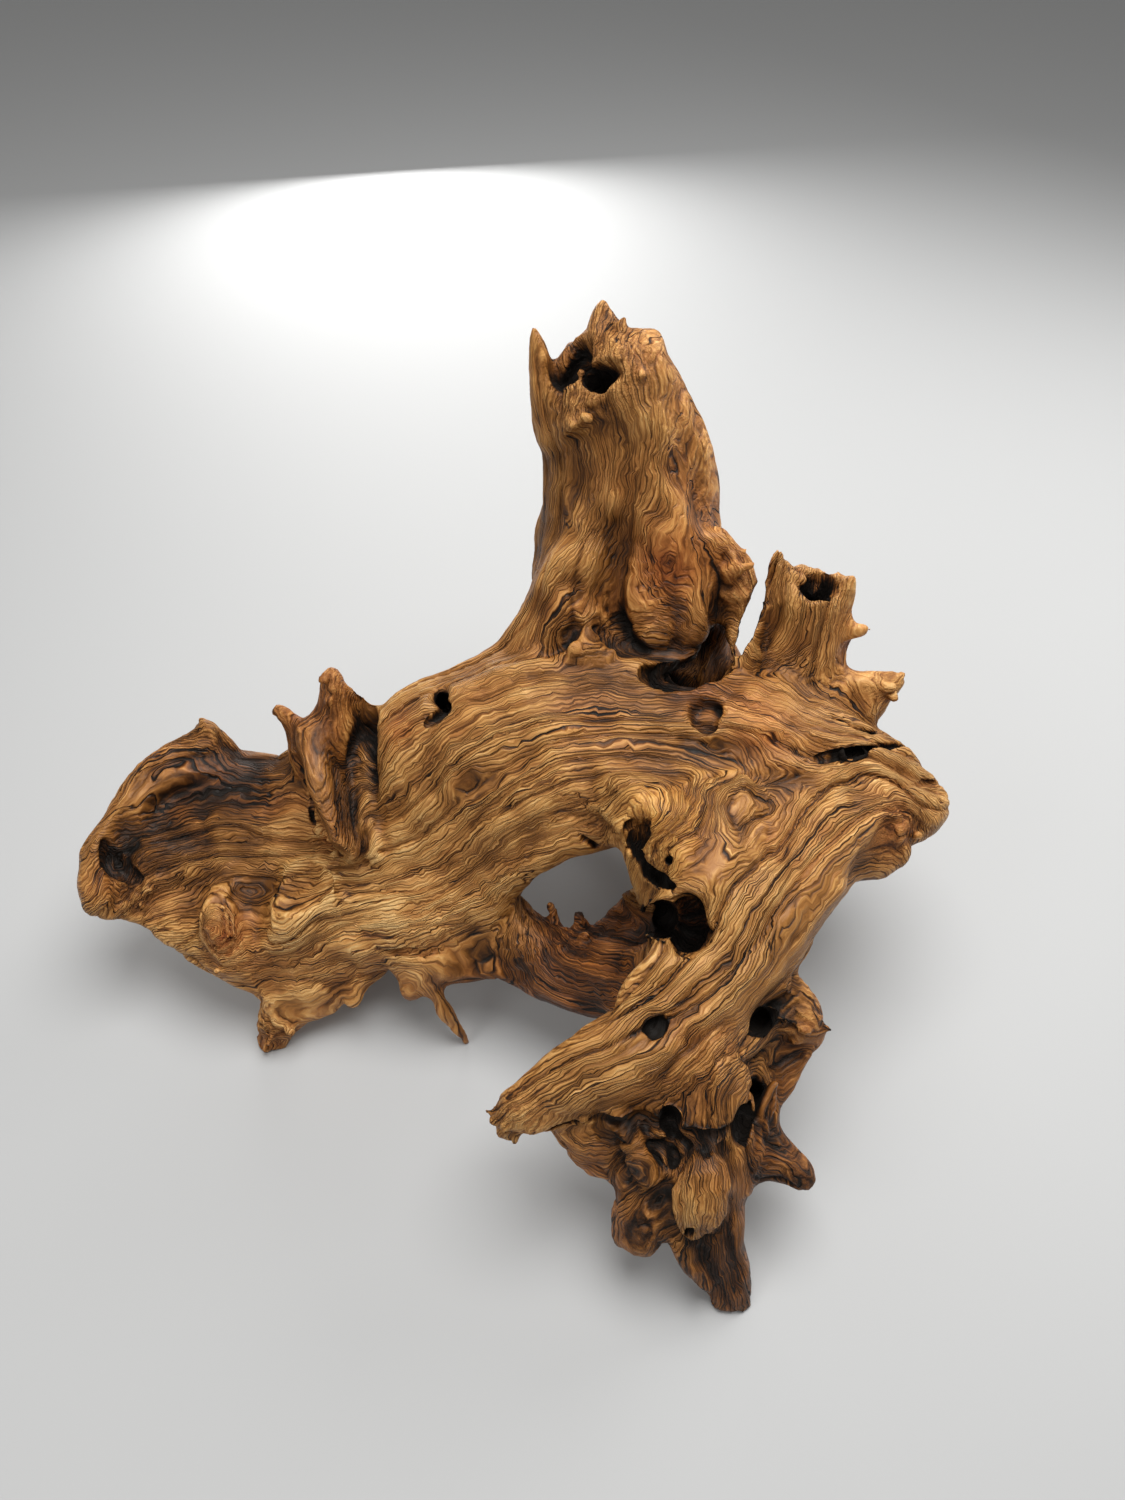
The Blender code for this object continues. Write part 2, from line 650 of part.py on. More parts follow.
def carve(root):
    """Moves the skin in and out: ridges that run along each limb, and lumps all over."""
    points = vertex_array(root.data, "co")
    heights = np.zeros(len(points))
    weights = np.zeros(len(points))
    for number, limb in enumerate((CORE_LIMBS | DETAIL_LIMBS).values()):
        height, weight = limb_relief(points, number, *limb)
        heights += weight * height
        weights += weight
    lumps = np.array([noise.noise(Vector(p / LUMP_SIZE)) for p in points])
    moves = heights / weights + LUMP_HEIGHT * lumps
    moved = points + vertex_array(root.data, "normal") * moves[:, None]
    root.data.vertices.foreach_set("co", moved.ravel())
    root.data.update()


def thin_out(root):
    """Brings the skin down to its budget of triangles."""
    root.data.calc_loop_triangles()
    thin = root.modifiers.new("thin out", "DECIMATE")
    thin.ratio = TRIANGLES / len(root.data.loop_triangles)
    thin.use_collapse_triangulate = True
    apply_modifiers(root)


def stand_on_floor(root):
    """Cuts the feet off flat at z = 0 and puts the origin under the middle of the root."""
    build = bmesh.new()
    build.from_mesh(root.data)
    everything = build.verts[:] + build.edges[:] + build.faces[:]
    cut = bmesh.ops.bisect_plane(build, geom=everything, plane_co=(0, 0, 0),
                                 plane_no=UP, clear_inner=True)
    rims = [edge for edge in cut["geom_cut"] if isinstance(edge, bmesh.types.BMEdge)]
    bmesh.ops.contextual_create(build, geom=rims)
    bmesh.ops.triangulate(build, faces=[f for f in build.faces if len(f.verts) > 3])
    places = np.array([v.co for v in build.verts])
    middle = (places.min(0) + places.max(0)) / 2
    bmesh.ops.translate(build, verts=build.verts, vec=(-middle[0], -middle[1], 0))
    build.to_mesh(root.data)
    build.free()


def wood():
    material = bpy.data.materials.new("oiled wood")
    material.use_nodes = True
    shader = material.node_tree.nodes["Principled BSDF"]
    shader.inputs["Base Color"].default_value = ROOT_COLOUR
    shader.inputs["Roughness"].default_value = ROOT_ROUGHNESS
    shader.inputs["Metallic"].default_value = 0.0
    return material


def main():
    clear_scene()
    parts = collection("dry root")
    cutters = collection("cutters")
    core = limbs_object("core", CORE_LIMBS, parts)
    fuse(core, CORE_VOXEL, CORE_SMOOTHING)
    root = limbs_object("root", DETAIL_LIMBS, parts, core.data)
    bpy.data.objects.remove(core)
    fuse(root, SKIN_VOXEL, SKIN_SMOOTHING)
    hollows = limbs_object("hollows", HOLLOWS, cutters)
    fuse(hollows, HOLLOW_VOXEL, 0)
    hollow_out(root, hollows)
    carve(root)
    thin_out(root)
    stand_on_floor(root)
    root.data.materials.clear()
    root.data.materials.append(wood())
    return root


if __name__ == "__main__":
    main()
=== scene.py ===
# %% [markdown]
# # A dried tree root in oiled wood
# The object is the stump and roots of a tree, dug up, dried, brushed clean and oiled. It stands
# on its own broken root ends. The imported model gives its form. This lesson gives it the skin:
# the flutes, cracks and knots that a brush leaves standing, and the figure of the grain.
# It starts by loading the imported model.

# %% Load the imported root
import math

import bmesh
import bpy
import numpy as np
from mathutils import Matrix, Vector, noise
from mathutils.bvhtree import BVHTree


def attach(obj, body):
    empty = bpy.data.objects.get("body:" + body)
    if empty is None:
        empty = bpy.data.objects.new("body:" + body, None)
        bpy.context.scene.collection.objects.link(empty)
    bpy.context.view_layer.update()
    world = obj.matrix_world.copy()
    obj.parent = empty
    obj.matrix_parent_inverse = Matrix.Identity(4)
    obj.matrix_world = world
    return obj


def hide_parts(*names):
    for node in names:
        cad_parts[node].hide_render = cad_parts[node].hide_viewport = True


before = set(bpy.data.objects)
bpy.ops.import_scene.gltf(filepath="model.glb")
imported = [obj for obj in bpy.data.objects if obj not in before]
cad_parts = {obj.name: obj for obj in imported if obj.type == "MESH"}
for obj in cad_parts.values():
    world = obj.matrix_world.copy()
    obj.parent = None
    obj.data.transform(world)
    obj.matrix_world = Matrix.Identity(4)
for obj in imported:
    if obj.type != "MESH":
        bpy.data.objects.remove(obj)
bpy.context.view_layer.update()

cad_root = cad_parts["root"]

# %% [markdown]
# ## The limbs that the grain follows
# Wood fibres run along each root, round a knot, and fan out where roots meet. To draw them, each
# root is described by a middle line with the half width and half thickness of its section. These
# are the same limbs that the model was built from, in the same places, and ORIGIN brings them to
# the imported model's own origin. Three values say how the wood looks there: where the pith lay,
# across and out from the middle line, how rugged the skin is, and how red the wood is.

# %% Name the limbs
ORIGIN = np.array((0.006, -0.029, 0.0))
UP = (0.0, 0.0, 1.0)
FRONT = (0.0, -1.0, 0.0)
SLOPE = (0.0, -0.55, 0.83)
BACK = (0.3, 1.0, 0.2)

# Each limb is (flat side's direction, pith, ruggedness, redness, [(x, y, z, half sizes), ...])
LIMBS = {
    "plate": (SLOPE, (0.03, -0.05), 0.9, 0.15, [
        (-0.505, 0.075, 0.175, 0.055, 0.026),
        (-0.380, 0.110, 0.165, 0.130, 0.032),
        (-0.290, 0.100, 0.175, 0.145, 0.036),
        (-0.200, 0.105, 0.205, 0.155, 0.040),
        (-0.120, 0.110, 0.245, 0.155, 0.044),
        (-0.040, 0.130, 0.310, 0.140, 0.050),
        (0.050, 0.140, 0.350, 0.130, 0.055),
        (0.150, 0.140, 0.355, 0.120, 0.055),
        (0.260, 0.135, 0.340, 0.105, 0.052),
        (0.370, 0.120, 0.315, 0.090, 0.046),
        (0.460, 0.110, 0.290, 0.065, 0.038),
        (0.505, 0.115, 0.280, 0.045, 0.028),
    ]),
    "shoulder": ((0.0, -0.7, 0.7), (0.03, -0.03), 1.2, 0.15, [
        (0.075, 0.280, 0.510, 0.040, 0.040),
        (0.040, 0.250, 0.400, 0.056, 0.046),
        (-0.030, 0.212, 0.338, 0.054, 0.040),
        (-0.110, 0.190, 0.296, 0.048, 0.036),
        (-0.185, 0.188, 0.278, 0.040, 0.030),
    ]),
    "arm": ((0.1, -0.6, 0.79), (-0.10, -0.04), 1.5, 0.05, [
        (0.415, 0.098, 0.302, 0.058, 0.036),
        (0.350, 0.038, 0.302, 0.070, 0.042),
        (0.285, -0.035, 0.292, 0.078, 0.044),
        (0.235, -0.110, 0.268, 0.074, 0.044),
        (0.183, -0.162, 0.245, 0.066, 0.042),
        (0.125, -0.195, 0.230, 0.054, 0.038),
        (0.068, -0.215, 0.210, 0.042, 0.034),
        (0.020, -0.235, 0.190, 0.030, 0.028),
    ]),
    "boss": ((-0.2, -0.4, 0.9), (0.02, -0.05), 0.5, -0.2, [
        (0.200, 0.110, 0.335, 0.080, 0.044),
        (0.205, 0.040, 0.335, 0.090, 0.042),
        (0.215, -0.020, 0.310, 0.082, 0.044),
        (0.210, -0.080, 0.270, 0.066, 0.050),
        (0.205, -0.130, 0.240, 0.055, 0.046),
    ]),
    "trunk": (FRONT, (0.03, -0.10), 0.55, 0.2, [
        (0.135, 0.310, 0.300, 0.140, 0.075),
        (0.142, 0.320, 0.420, 0.126, 0.070),
        (0.140, 0.338, 0.520, 0.111, 0.060),
        (0.134, 0.352, 0.600, 0.097, 0.054),
        (0.124, 0.362, 0.660, 0.080, 0.050),
        (0.108, 0.372, 0.708, 0.062, 0.044),
    ]),
    "belly": (FRONT, (0.0, -0.03), 0.4, 0.5, [
        (0.150, 0.330, 0.630, 0.030, 0.030),
        (0.170, 0.305, 0.560, 0.044, 0.036),
        (0.188, 0.280, 0.500, 0.050, 0.036),
        (0.202, 0.250, 0.418, 0.030, 0.026),
    ]),
    "trunk_ridge": (FRONT, (0.03, -0.02), 1.0, 0.1, [
        (0.125, 0.325, 0.640, 0.016, 0.020),
        (0.106, 0.303, 0.580, 0.022, 0.022),
        (0.069, 0.298, 0.520, 0.026, 0.024),
        (0.042, 0.268, 0.450, 0.028, 0.024),
        (-0.035, 0.222, 0.360, 0.030, 0.024),
    ]),
    "throat_rim": (FRONT, (0.02, -0.02), 1.2, 0.4, [
        (0.238, 0.290, 0.540, 0.018, 0.020),
        (0.262, 0.282, 0.490, 0.022, 0.024),
        (0.274, 0.265, 0.440, 0.022, 0.026),
        (0.270, 0.235, 0.390, 0.028, 0.026),
    ]),
    "stub": (FRONT, (0.03, -0.04), 1.0, 0.25, [
        (0.345, 0.225, 0.300, 0.070, 0.055),
        (0.355, 0.262, 0.380, 0.058, 0.048),
        (0.357, 0.280, 0.430, 0.054, 0.042),
        (0.357, 0.286, 0.465, 0.050, 0.038),
    ]),
    "stub_heel": (FRONT, (0.0, -0.03), 1.2, 0.3, [
        (0.395, 0.225, 0.320, 0.045, 0.042),
        (0.435, 0.232, 0.350, 0.036, 0.034),
        (0.468, 0.236, 0.366, 0.016, 0.016),
    ]),
    "bridge": ((0.0, -0.7, 0.7), (0.02, -0.03), 0.9, 0.6, [
        (-0.160, 0.035, 0.150, 0.062, 0.034),
        (-0.110, 0.010, 0.135, 0.054, 0.032),
        (-0.067, 0.000, 0.130, 0.040, 0.030),
        (-0.017, 0.012, 0.140, 0.053, 0.032),
        (0.039, -0.021, 0.142, 0.048, 0.032),
        (0.093, -0.052, 0.158, 0.048, 0.034),
        (0.149, -0.085, 0.190, 0.050, 0.038),
        (0.205, -0.120, 0.225, 0.055, 0.044),
    ]),
    "taproot": (FRONT, (0.03, -0.03), 1.2, 0.3, [
        (0.130, 0.300, 0.330, 0.120, 0.070),
        (0.110, 0.335, 0.250, 0.085, 0.060),
        (0.135, 0.350, 0.170, 0.060, 0.052),
        (0.115, 0.365, 0.085, 0.052, 0.044),
        (0.078, 0.404, -0.020, 0.054, 0.046),
    ]),
    "right_leg": (FRONT, (0.02, -0.02), 1.2, 0.2, [
        (0.330, 0.170, 0.320, 0.060, 0.055),
        (0.358, 0.235, 0.240, 0.046, 0.045),
        (0.325, 0.275, 0.155, 0.036, 0.034),
        (0.345, 0.295, 0.080, 0.032, 0.030),
        (0.388, 0.338, -0.020, 0.036, 0.032),
    ]),
    "left_leg": (FRONT, (0.02, -0.02), 1.2, 0.2, [
        (-0.130, 0.180, 0.250, 0.070, 0.055),
        (-0.142, 0.235, 0.170, 0.046, 0.042),
        (-0.185, 0.258, 0.100, 0.036, 0.034),
        (-0.212, 0.306, -0.020, 0.035, 0.031),
    ]),
    "front_leg": ((0.3, -0.8, 0.5), (0.03, -0.03), 1.3, 0.45, [
        (-0.205, 0.045, 0.165, 0.110, 0.034),
        (-0.240, 0.010, 0.120, 0.086, 0.030),
        (-0.272, -0.020, 0.075, 0.056, 0.026),
        (-0.322, -0.060, -0.015, 0.022, 0.018),
    ]),
    "foot": (FRONT, (0.02, -0.03), 1.4, 0.35, [
        (0.200, -0.195, 0.225, 0.055, 0.038),
        (0.205, -0.240, 0.175, 0.072, 0.042),
        (0.208, -0.280, 0.125, 0.066, 0.042),
        (0.222, -0.320, 0.070, 0.046, 0.034),
        (0.250, -0.368, -0.015, 0.026, 0.022),
    ]),
    "dish_rim": ((-0.4, 0.3, 0.85), (0.02, -0.02), 1.0, 0.2, [
        (-0.512, 0.040, 0.175, 0.018, 0.022),
        (-0.515, 0.090, 0.205, 0.022, 0.022),
        (-0.492, 0.145, 0.228, 0.026, 0.022),
        (-0.452, 0.188, 0.240, 0.030, 0.022),
        (-0.400, 0.210, 0.242, 0.035, 0.022),
        (-0.345, 0.215, 0.230, 0.030, 0.020),
        (-0.285, 0.200, 0.230, 0.030, 0.022),
    ]),
    "prong": (FRONT, (0.02, -0.02), 1.2, 0.4, [
        (-0.212, 0.160, 0.240, 0.060, 0.036),
        (-0.213, 0.186, 0.305, 0.044, 0.026),
        (-0.216, 0.204, 0.355, 0.026, 0.019),
        (-0.218, 0.213, 0.397, 0.015, 0.013),
    ]),
    "left_prong": (FRONT, (0.01, -0.01), 1.2, 0.4, [
        (-0.242, 0.168, 0.255, 0.034, 0.024),
        (-0.262, 0.186, 0.312, 0.019, 0.016),
        (-0.286, 0.199, 0.356, 0.010, 0.010),
    ]),
    "blade": ((1.0, 0.0, 0.2), (0.02, -0.01), 1.2, 0.2, [
        (-0.238, 0.185, 0.315, 0.045, 0.022),
        (-0.222, 0.120, 0.280, 0.045, 0.020),
        (-0.198, 0.060, 0.252, 0.026, 0.014),
    ]),
    "nose_chin": ((0.5, -0.5, 0.7), (0.0, -0.02), 1.2, 0.6, [
        (0.365, 0.052, 0.285, 0.048, 0.034),
        (0.420, 0.045, 0.268, 0.034, 0.028),
        (0.450, 0.052, 0.258, 0.020, 0.020),
    ]),
    "knob": ((0.6, -0.3, 0.7), (0.02, -0.02), 1.3, 0.35, [
        (0.260, -0.120, 0.240, 0.034, 0.030),
        (0.300, -0.126, 0.224, 0.034, 0.028),
        (0.328, -0.138, 0.206, 0.025, 0.022),
        (0.346, -0.148, 0.190, 0.013, 0.013),
    ]),
    "fin": ((-0.5, -0.8, 0.3), (0.03, -0.01), 1.0, 0.3, [
        (0.332, -0.142, 0.195, 0.024, 0.013),
        (0.306, -0.157, 0.172, 0.034, 0.013),
        (0.264, -0.202, 0.135, 0.040, 0.018),
        (0.245, -0.230, 0.125, 0.040, 0.022),
    ]),
    "right_lobe": (FRONT, (0.0, -0.02), 1.4, 0.35, [
        (0.255, -0.245, 0.135, 0.036, 0.030),
        (0.296, -0.260, 0.120, 0.026, 0.025),
        (0.318, -0.272, 0.112, 0.016, 0.016),
    ]),
    "left_lobe": (FRONT, (0.01, -0.02), 1.4, 0.25, [
        (0.175, -0.285, 0.120, 0.044, 0.036),
        (0.148, -0.306, 0.096, 0.040, 0.034),
        (0.142, -0.324, 0.076, 0.032, 0.028),
    ]),
    "shell": (FRONT, (0.03, -0.02), 0.8, 0.1, [
        (0.200, -0.250, 0.190, 0.028, 0.024),
        (0.205, -0.296, 0.163, 0.034, 0.024),
        (0.208, -0.320, 0.138, 0.022, 0.018),
    ]),
    "hanging_lobe": (FRONT, (0.01, -0.02), 1.4, 0.35, [
        (0.070, -0.205, 0.195, 0.040, 0.030),
        (0.080, -0.238, 0.155, 0.034, 0.026),
        (0.094, -0.266, 0.118, 0.020, 0.018),
    ]),
    "stick": (UP, (0.006, 0.0), 0.6, 0.3, [
        (-0.112, -0.020, 0.125, 0.015, 0.012),
        (-0.085, -0.045, 0.060, 0.011, 0.009),
        (-0.060, -0.056, -0.010, 0.011, 0.009),
    ]),
    "cross_root": (UP, (0.01, -0.01), 1.0, 0.2, [
        (0.335, 0.265, 0.170, 0.030, 0.026),
        (0.265, 0.305, 0.125, 0.024, 0.022),
        (0.190, 0.330, 0.130, 0.026, 0.022),
        (0.125, 0.350, 0.160, 0.036, 0.030),
    ]),
    "under_root": (UP, (0.01, -0.01), 1.0, 0.2, [
        (-0.150, 0.240, 0.150, 0.034, 0.030),
        (-0.235, 0.215, 0.115, 0.028, 0.024),
        (-0.305, 0.165, 0.120, 0.024, 0.020),
        (-0.350, 0.120, 0.150, 0.026, 0.022),
    ]),
    "back_root": (FRONT, (0.01, -0.01), 1.0, 0.2, [
        (0.090, 0.340, 0.260, 0.045, 0.040),
        (0.030, 0.375, 0.195, 0.034, 0.030),
        (-0.020, 0.385, 0.130, 0.026, 0.024),
        (-0.045, 0.400, 0.090, 0.015, 0.014),
    ]),
    "back_rib": (BACK, (0.02, -0.02), 1.0, 0.2, [
        (0.100, 0.395, 0.690, 0.018, 0.016),
        (0.065, 0.392, 0.500, 0.026, 0.024),
        (0.045, 0.365, 0.300, 0.034, 0.030),
        (0.090, 0.375, 0.200, 0.030, 0.028),
    ]),
    "back_right_rib": (BACK, (0.02, -0.02), 1.0, 0.2, [
        (0.160, 0.395, 0.640, 0.016, 0.015),
        (0.220, 0.380, 0.440, 0.028, 0.024),
        (0.235, 0.350, 0.350, 0.032, 0.028),
        (0.330, 0.280, 0.200, 0.026, 0.024),
    ]),
    "plate_keel": (UP, (0.02, -0.02), 1.1, 0.3, [
        (-0.420, 0.130, 0.150, 0.030, 0.022),
        (-0.220, 0.180, 0.180, 0.040, 0.034),
        (-0.020, 0.230, 0.280, 0.050, 0.044),
        (0.070, 0.280, 0.310, 0.055, 0.050),
    ]),
    "slab_keel": (UP, (0.02, -0.02), 1.1, 0.3, [
        (0.110, 0.260, 0.300, 0.055, 0.050),
        (0.200, 0.200, 0.290, 0.050, 0.044),
        (0.290, 0.140, 0.280, 0.045, 0.040),
        (0.420, 0.080, 0.262, 0.024, 0.022),
    ]),
}
print(len(LIMBS), "limbs")

# %% [markdown]
# ## Knots and broken ends
# A knot is where a thin root or a bud left the wood. Some stand out as a bump, some have rotted
# into a pit, and the grain flows round both. The ends were torn off as the root was pulled out,
# so they are rough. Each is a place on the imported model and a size. Only those that show are
# listed, because noise makes the small ones later.

# %% Name the knots and the broken ends
# Each knot is (x, y, z, radius, height): a pit has a height below zero
KNOTS = [
    (-0.323, 0.029, 0.172, 0.024, -0.006),
    (-0.201, -0.040, 0.158, 0.012, 0.003),
    (-0.043, 0.061, 0.339, 0.012, -0.004),
    (0.064, 0.206, 0.462, 0.017, 0.009),
    (0.098, 0.180, 0.445, 0.016, 0.009),
    (0.070, 0.193, 0.452, 0.008, -0.010),
    (0.112, 0.198, 0.458, 0.009, -0.012),
    (0.074, 0.272, 0.571, 0.012, -0.002),
    (0.186, 0.230, 0.535, 0.018, 0.002),
    (0.190, 0.283, 0.622, 0.010, -0.003),
    (0.243, 0.077, 0.386, 0.014, -0.006),
    (0.282, -0.022, 0.360, 0.009, 0.002),
    (0.309, -0.111, 0.317, 0.014, 0.002),
    (0.155, -0.208, 0.262, 0.013, -0.003),
    (0.147, -0.364, 0.108, 0.019, 0.007),
    (0.144, -0.368, 0.112, 0.008, -0.009),
    (0.166, -0.341, 0.136, 0.009, -0.008),
    (0.324, -0.316, 0.124, 0.010, 0.004),
    (0.304, -0.175, 0.245, 0.014, -0.008),
    (0.453, 0.028, 0.297, 0.014, 0.005),
    (0.419, 0.230, 0.400, 0.010, 0.005),
    (0.060, 0.340, 0.680, 0.008, 0.005),
    (-0.130, 0.380, 0.520, 0.012, 0.004),
    (0.215, 0.383, 0.428, 0.014, 0.006),
    (0.171, -0.030, 0.350, 0.0045, -0.0045),
    (0.186, -0.031, 0.348, 0.0035, -0.0035),
    (0.160, -0.012, 0.352, 0.0040, -0.0040),
    (0.198, -0.050, 0.340, 0.0040, -0.0040),
    (0.178, -0.006, 0.356, 0.0035, -0.0035),
    (0.146, -0.002, 0.350, 0.0035, -0.0035),
]

# Each torn place is (x, y, z, radius, roughness)
TORN = [
    (0.105, 0.309, 0.733, 0.050, 0.9),
    (0.074, 0.287, 0.682, 0.020, 0.8),
    (0.274, 0.234, 0.490, 0.034, 1.0),
    (0.375, 0.266, 0.460, 0.042, 0.8),
    (0.463, 0.193, 0.372, 0.026, 0.9),
    (0.506, 0.087, 0.310, 0.026, 0.6),
    (0.453, 0.028, 0.297, 0.034, 1.0),
    (0.006, -0.277, 0.205, 0.034, 1.0),
    (0.082, -0.274, 0.200, 0.022, 0.8),
    (0.147, -0.364, 0.108, 0.034, 0.7),
    (0.190, -0.300, 0.172, 0.030, 0.7),
    (0.324, -0.186, 0.230, 0.030, 0.9),
    (0.318, -0.312, 0.129, 0.024, 0.9),
    (-0.312, -0.090, 0.032, 0.040, 0.8),
    (-0.343, -0.034, 0.163, 0.030, 0.8),
    (-0.463, 0.032, 0.169, 0.024, 0.9),
    (-0.212, 0.171, 0.393, 0.025, 0.8),
    (-0.280, 0.165, 0.358, 0.020, 0.8),
    (-0.240, 0.155, 0.330, 0.026, 0.8),
    (-0.222, 0.066, 0.236, 0.026, 0.8),
    (-0.389, 0.199, 0.278, 0.030, 0.7),
    (0.150, -0.045, 0.350, 0.030, 0.7),
    (0.095, 0.190, 0.450, 0.032, 0.5),
    (0.081, -0.042, 0.185, 0.030, 0.9),
    (-0.110, -0.050, 0.157, 0.016, 0.7),
]
print(len(KNOTS), "knots and", len(TORN), "torn places")

# %% [markdown]
# ## Stubs, folds and cracks
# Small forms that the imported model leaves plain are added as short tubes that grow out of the
# root, and the same kind of tube is also cut out of it, for pits, slots and the long cracks that
# opened as the root dried. A crack is a tube that is thin across and deep, laid along the skin.
# Each tube is a few stations, as the limbs are, and its flat side is the way it is deepest.

# %% Name the stubs, folds and cracks
# Each is (deep side's direction, [(x, y, z, half width, half depth), ...])
SHOOTS = {
    "den_floor": (UP, [
        (-0.180, 0.160, 0.285, 0.026, 0.024),
        (-0.172, 0.115, 0.270, 0.028, 0.028),
        (-0.166, 0.078, 0.252, 0.026, 0.026),
        (-0.160, 0.045, 0.236, 0.018, 0.020),
    ]),
    "rim_peak": (FRONT, [
        (-0.388, 0.192, 0.222, 0.056, 0.022),
        (-0.390, 0.199, 0.256, 0.034, 0.015),
        (-0.386, 0.204, 0.284, 0.012, 0.009),
    ]),
    "rim_ridge": (UP, [
        (-0.494, 0.112, 0.230, 0.015, 0.012),
        (-0.464, 0.156, 0.254, 0.015, 0.015),
        (-0.426, 0.184, 0.262, 0.018, 0.016),
        (-0.392, 0.198, 0.264, 0.020, 0.018),
    ]),
    "belly_end": (FRONT, [
        (0.170, 0.262, 0.530, 0.032, 0.026),
        (0.174, 0.232, 0.478, 0.038, 0.026),
        (0.178, 0.212, 0.440, 0.028, 0.022),
    ]),
    "crown_fill": (UP, [
        (0.222, 0.122, 0.384, 0.016, 0.014),
        (0.240, 0.114, 0.382, 0.020, 0.015),
        (0.260, 0.118, 0.374, 0.014, 0.013),
    ]),
    "crater_back": (UP, [
        (0.056, 0.340, 0.690, 0.012, 0.012),
        (0.072, 0.350, 0.714, 0.009, 0.013),
        (0.088, 0.354, 0.728, 0.008, 0.012),
        (0.104, 0.350, 0.738, 0.010, 0.012),
    ]),
    "crater_lip": (UP, [
        (0.074, 0.306, 0.690, 0.007, 0.008),
        (0.100, 0.297, 0.693, 0.007, 0.009),
        (0.124, 0.300, 0.699, 0.006, 0.008),
    ]),
    "lip_drip": (FRONT, [
        (0.082, 0.299, 0.688, 0.009, 0.007),
        (0.077, 0.293, 0.674, 0.007, 0.006),
        (0.074, 0.289, 0.666, 0.004, 0.004),
    ]),
    "throat_tooth": (FRONT, [
        (0.262, 0.240, 0.480, 0.014, 0.012),
        (0.273, 0.229, 0.484, 0.009, 0.008),
        (0.280, 0.223, 0.486, 0.005, 0.005),
    ]),
    "window_shard": (UP, [
        (0.056, -0.022, 0.154, 0.016, 0.012),
        (0.056, -0.010, 0.178, 0.011, 0.008),
        (0.050, -0.004, 0.192, 0.006, 0.005),
    ]),
    "window_tooth": (UP, [
        (0.088, -0.040, 0.168, 0.016, 0.012),
        (0.088, -0.028, 0.192, 0.010, 0.008),
        (0.084, -0.022, 0.202, 0.005, 0.005),
    ]),
    "shell_lip": ((0.0, -0.7, 0.7), [
        (0.214, -0.300, 0.184, 0.016, 0.011),
        (0.214, -0.330, 0.172, 0.030, 0.015),
        (0.206, -0.354, 0.146, 0.031, 0.013),
        (0.200, -0.364, 0.120, 0.018, 0.009),
    ]),
    "throat_ear": (FRONT, [
        (0.258, 0.240, 0.508, 0.013, 0.012),
        (0.268, 0.230, 0.522, 0.008, 0.008),
        (0.280, 0.226, 0.528, 0.005, 0.005),
    ]),
    "horn": (FRONT, [
        (0.250, -0.318, 0.130, 0.020, 0.016),
        (0.268, -0.290, 0.158, 0.016, 0.013),
        (0.282, -0.262, 0.182, 0.012, 0.010),
        (0.291, -0.244, 0.202, 0.007, 0.006),
    ]),
    "left_fold": (FRONT, [
        (0.112, -0.262, 0.204, 0.014, 0.012),
        (0.138, -0.292, 0.176, 0.014, 0.013),
        (0.156, -0.320, 0.150, 0.016, 0.014),
    ]),
    "foot_fold": (FRONT, [
        (0.182, -0.330, 0.120, 0.012, 0.012),
        (0.196, -0.372, 0.082, 0.014, 0.012),
        (0.222, -0.392, 0.046, 0.010, 0.010),
    ]),
}

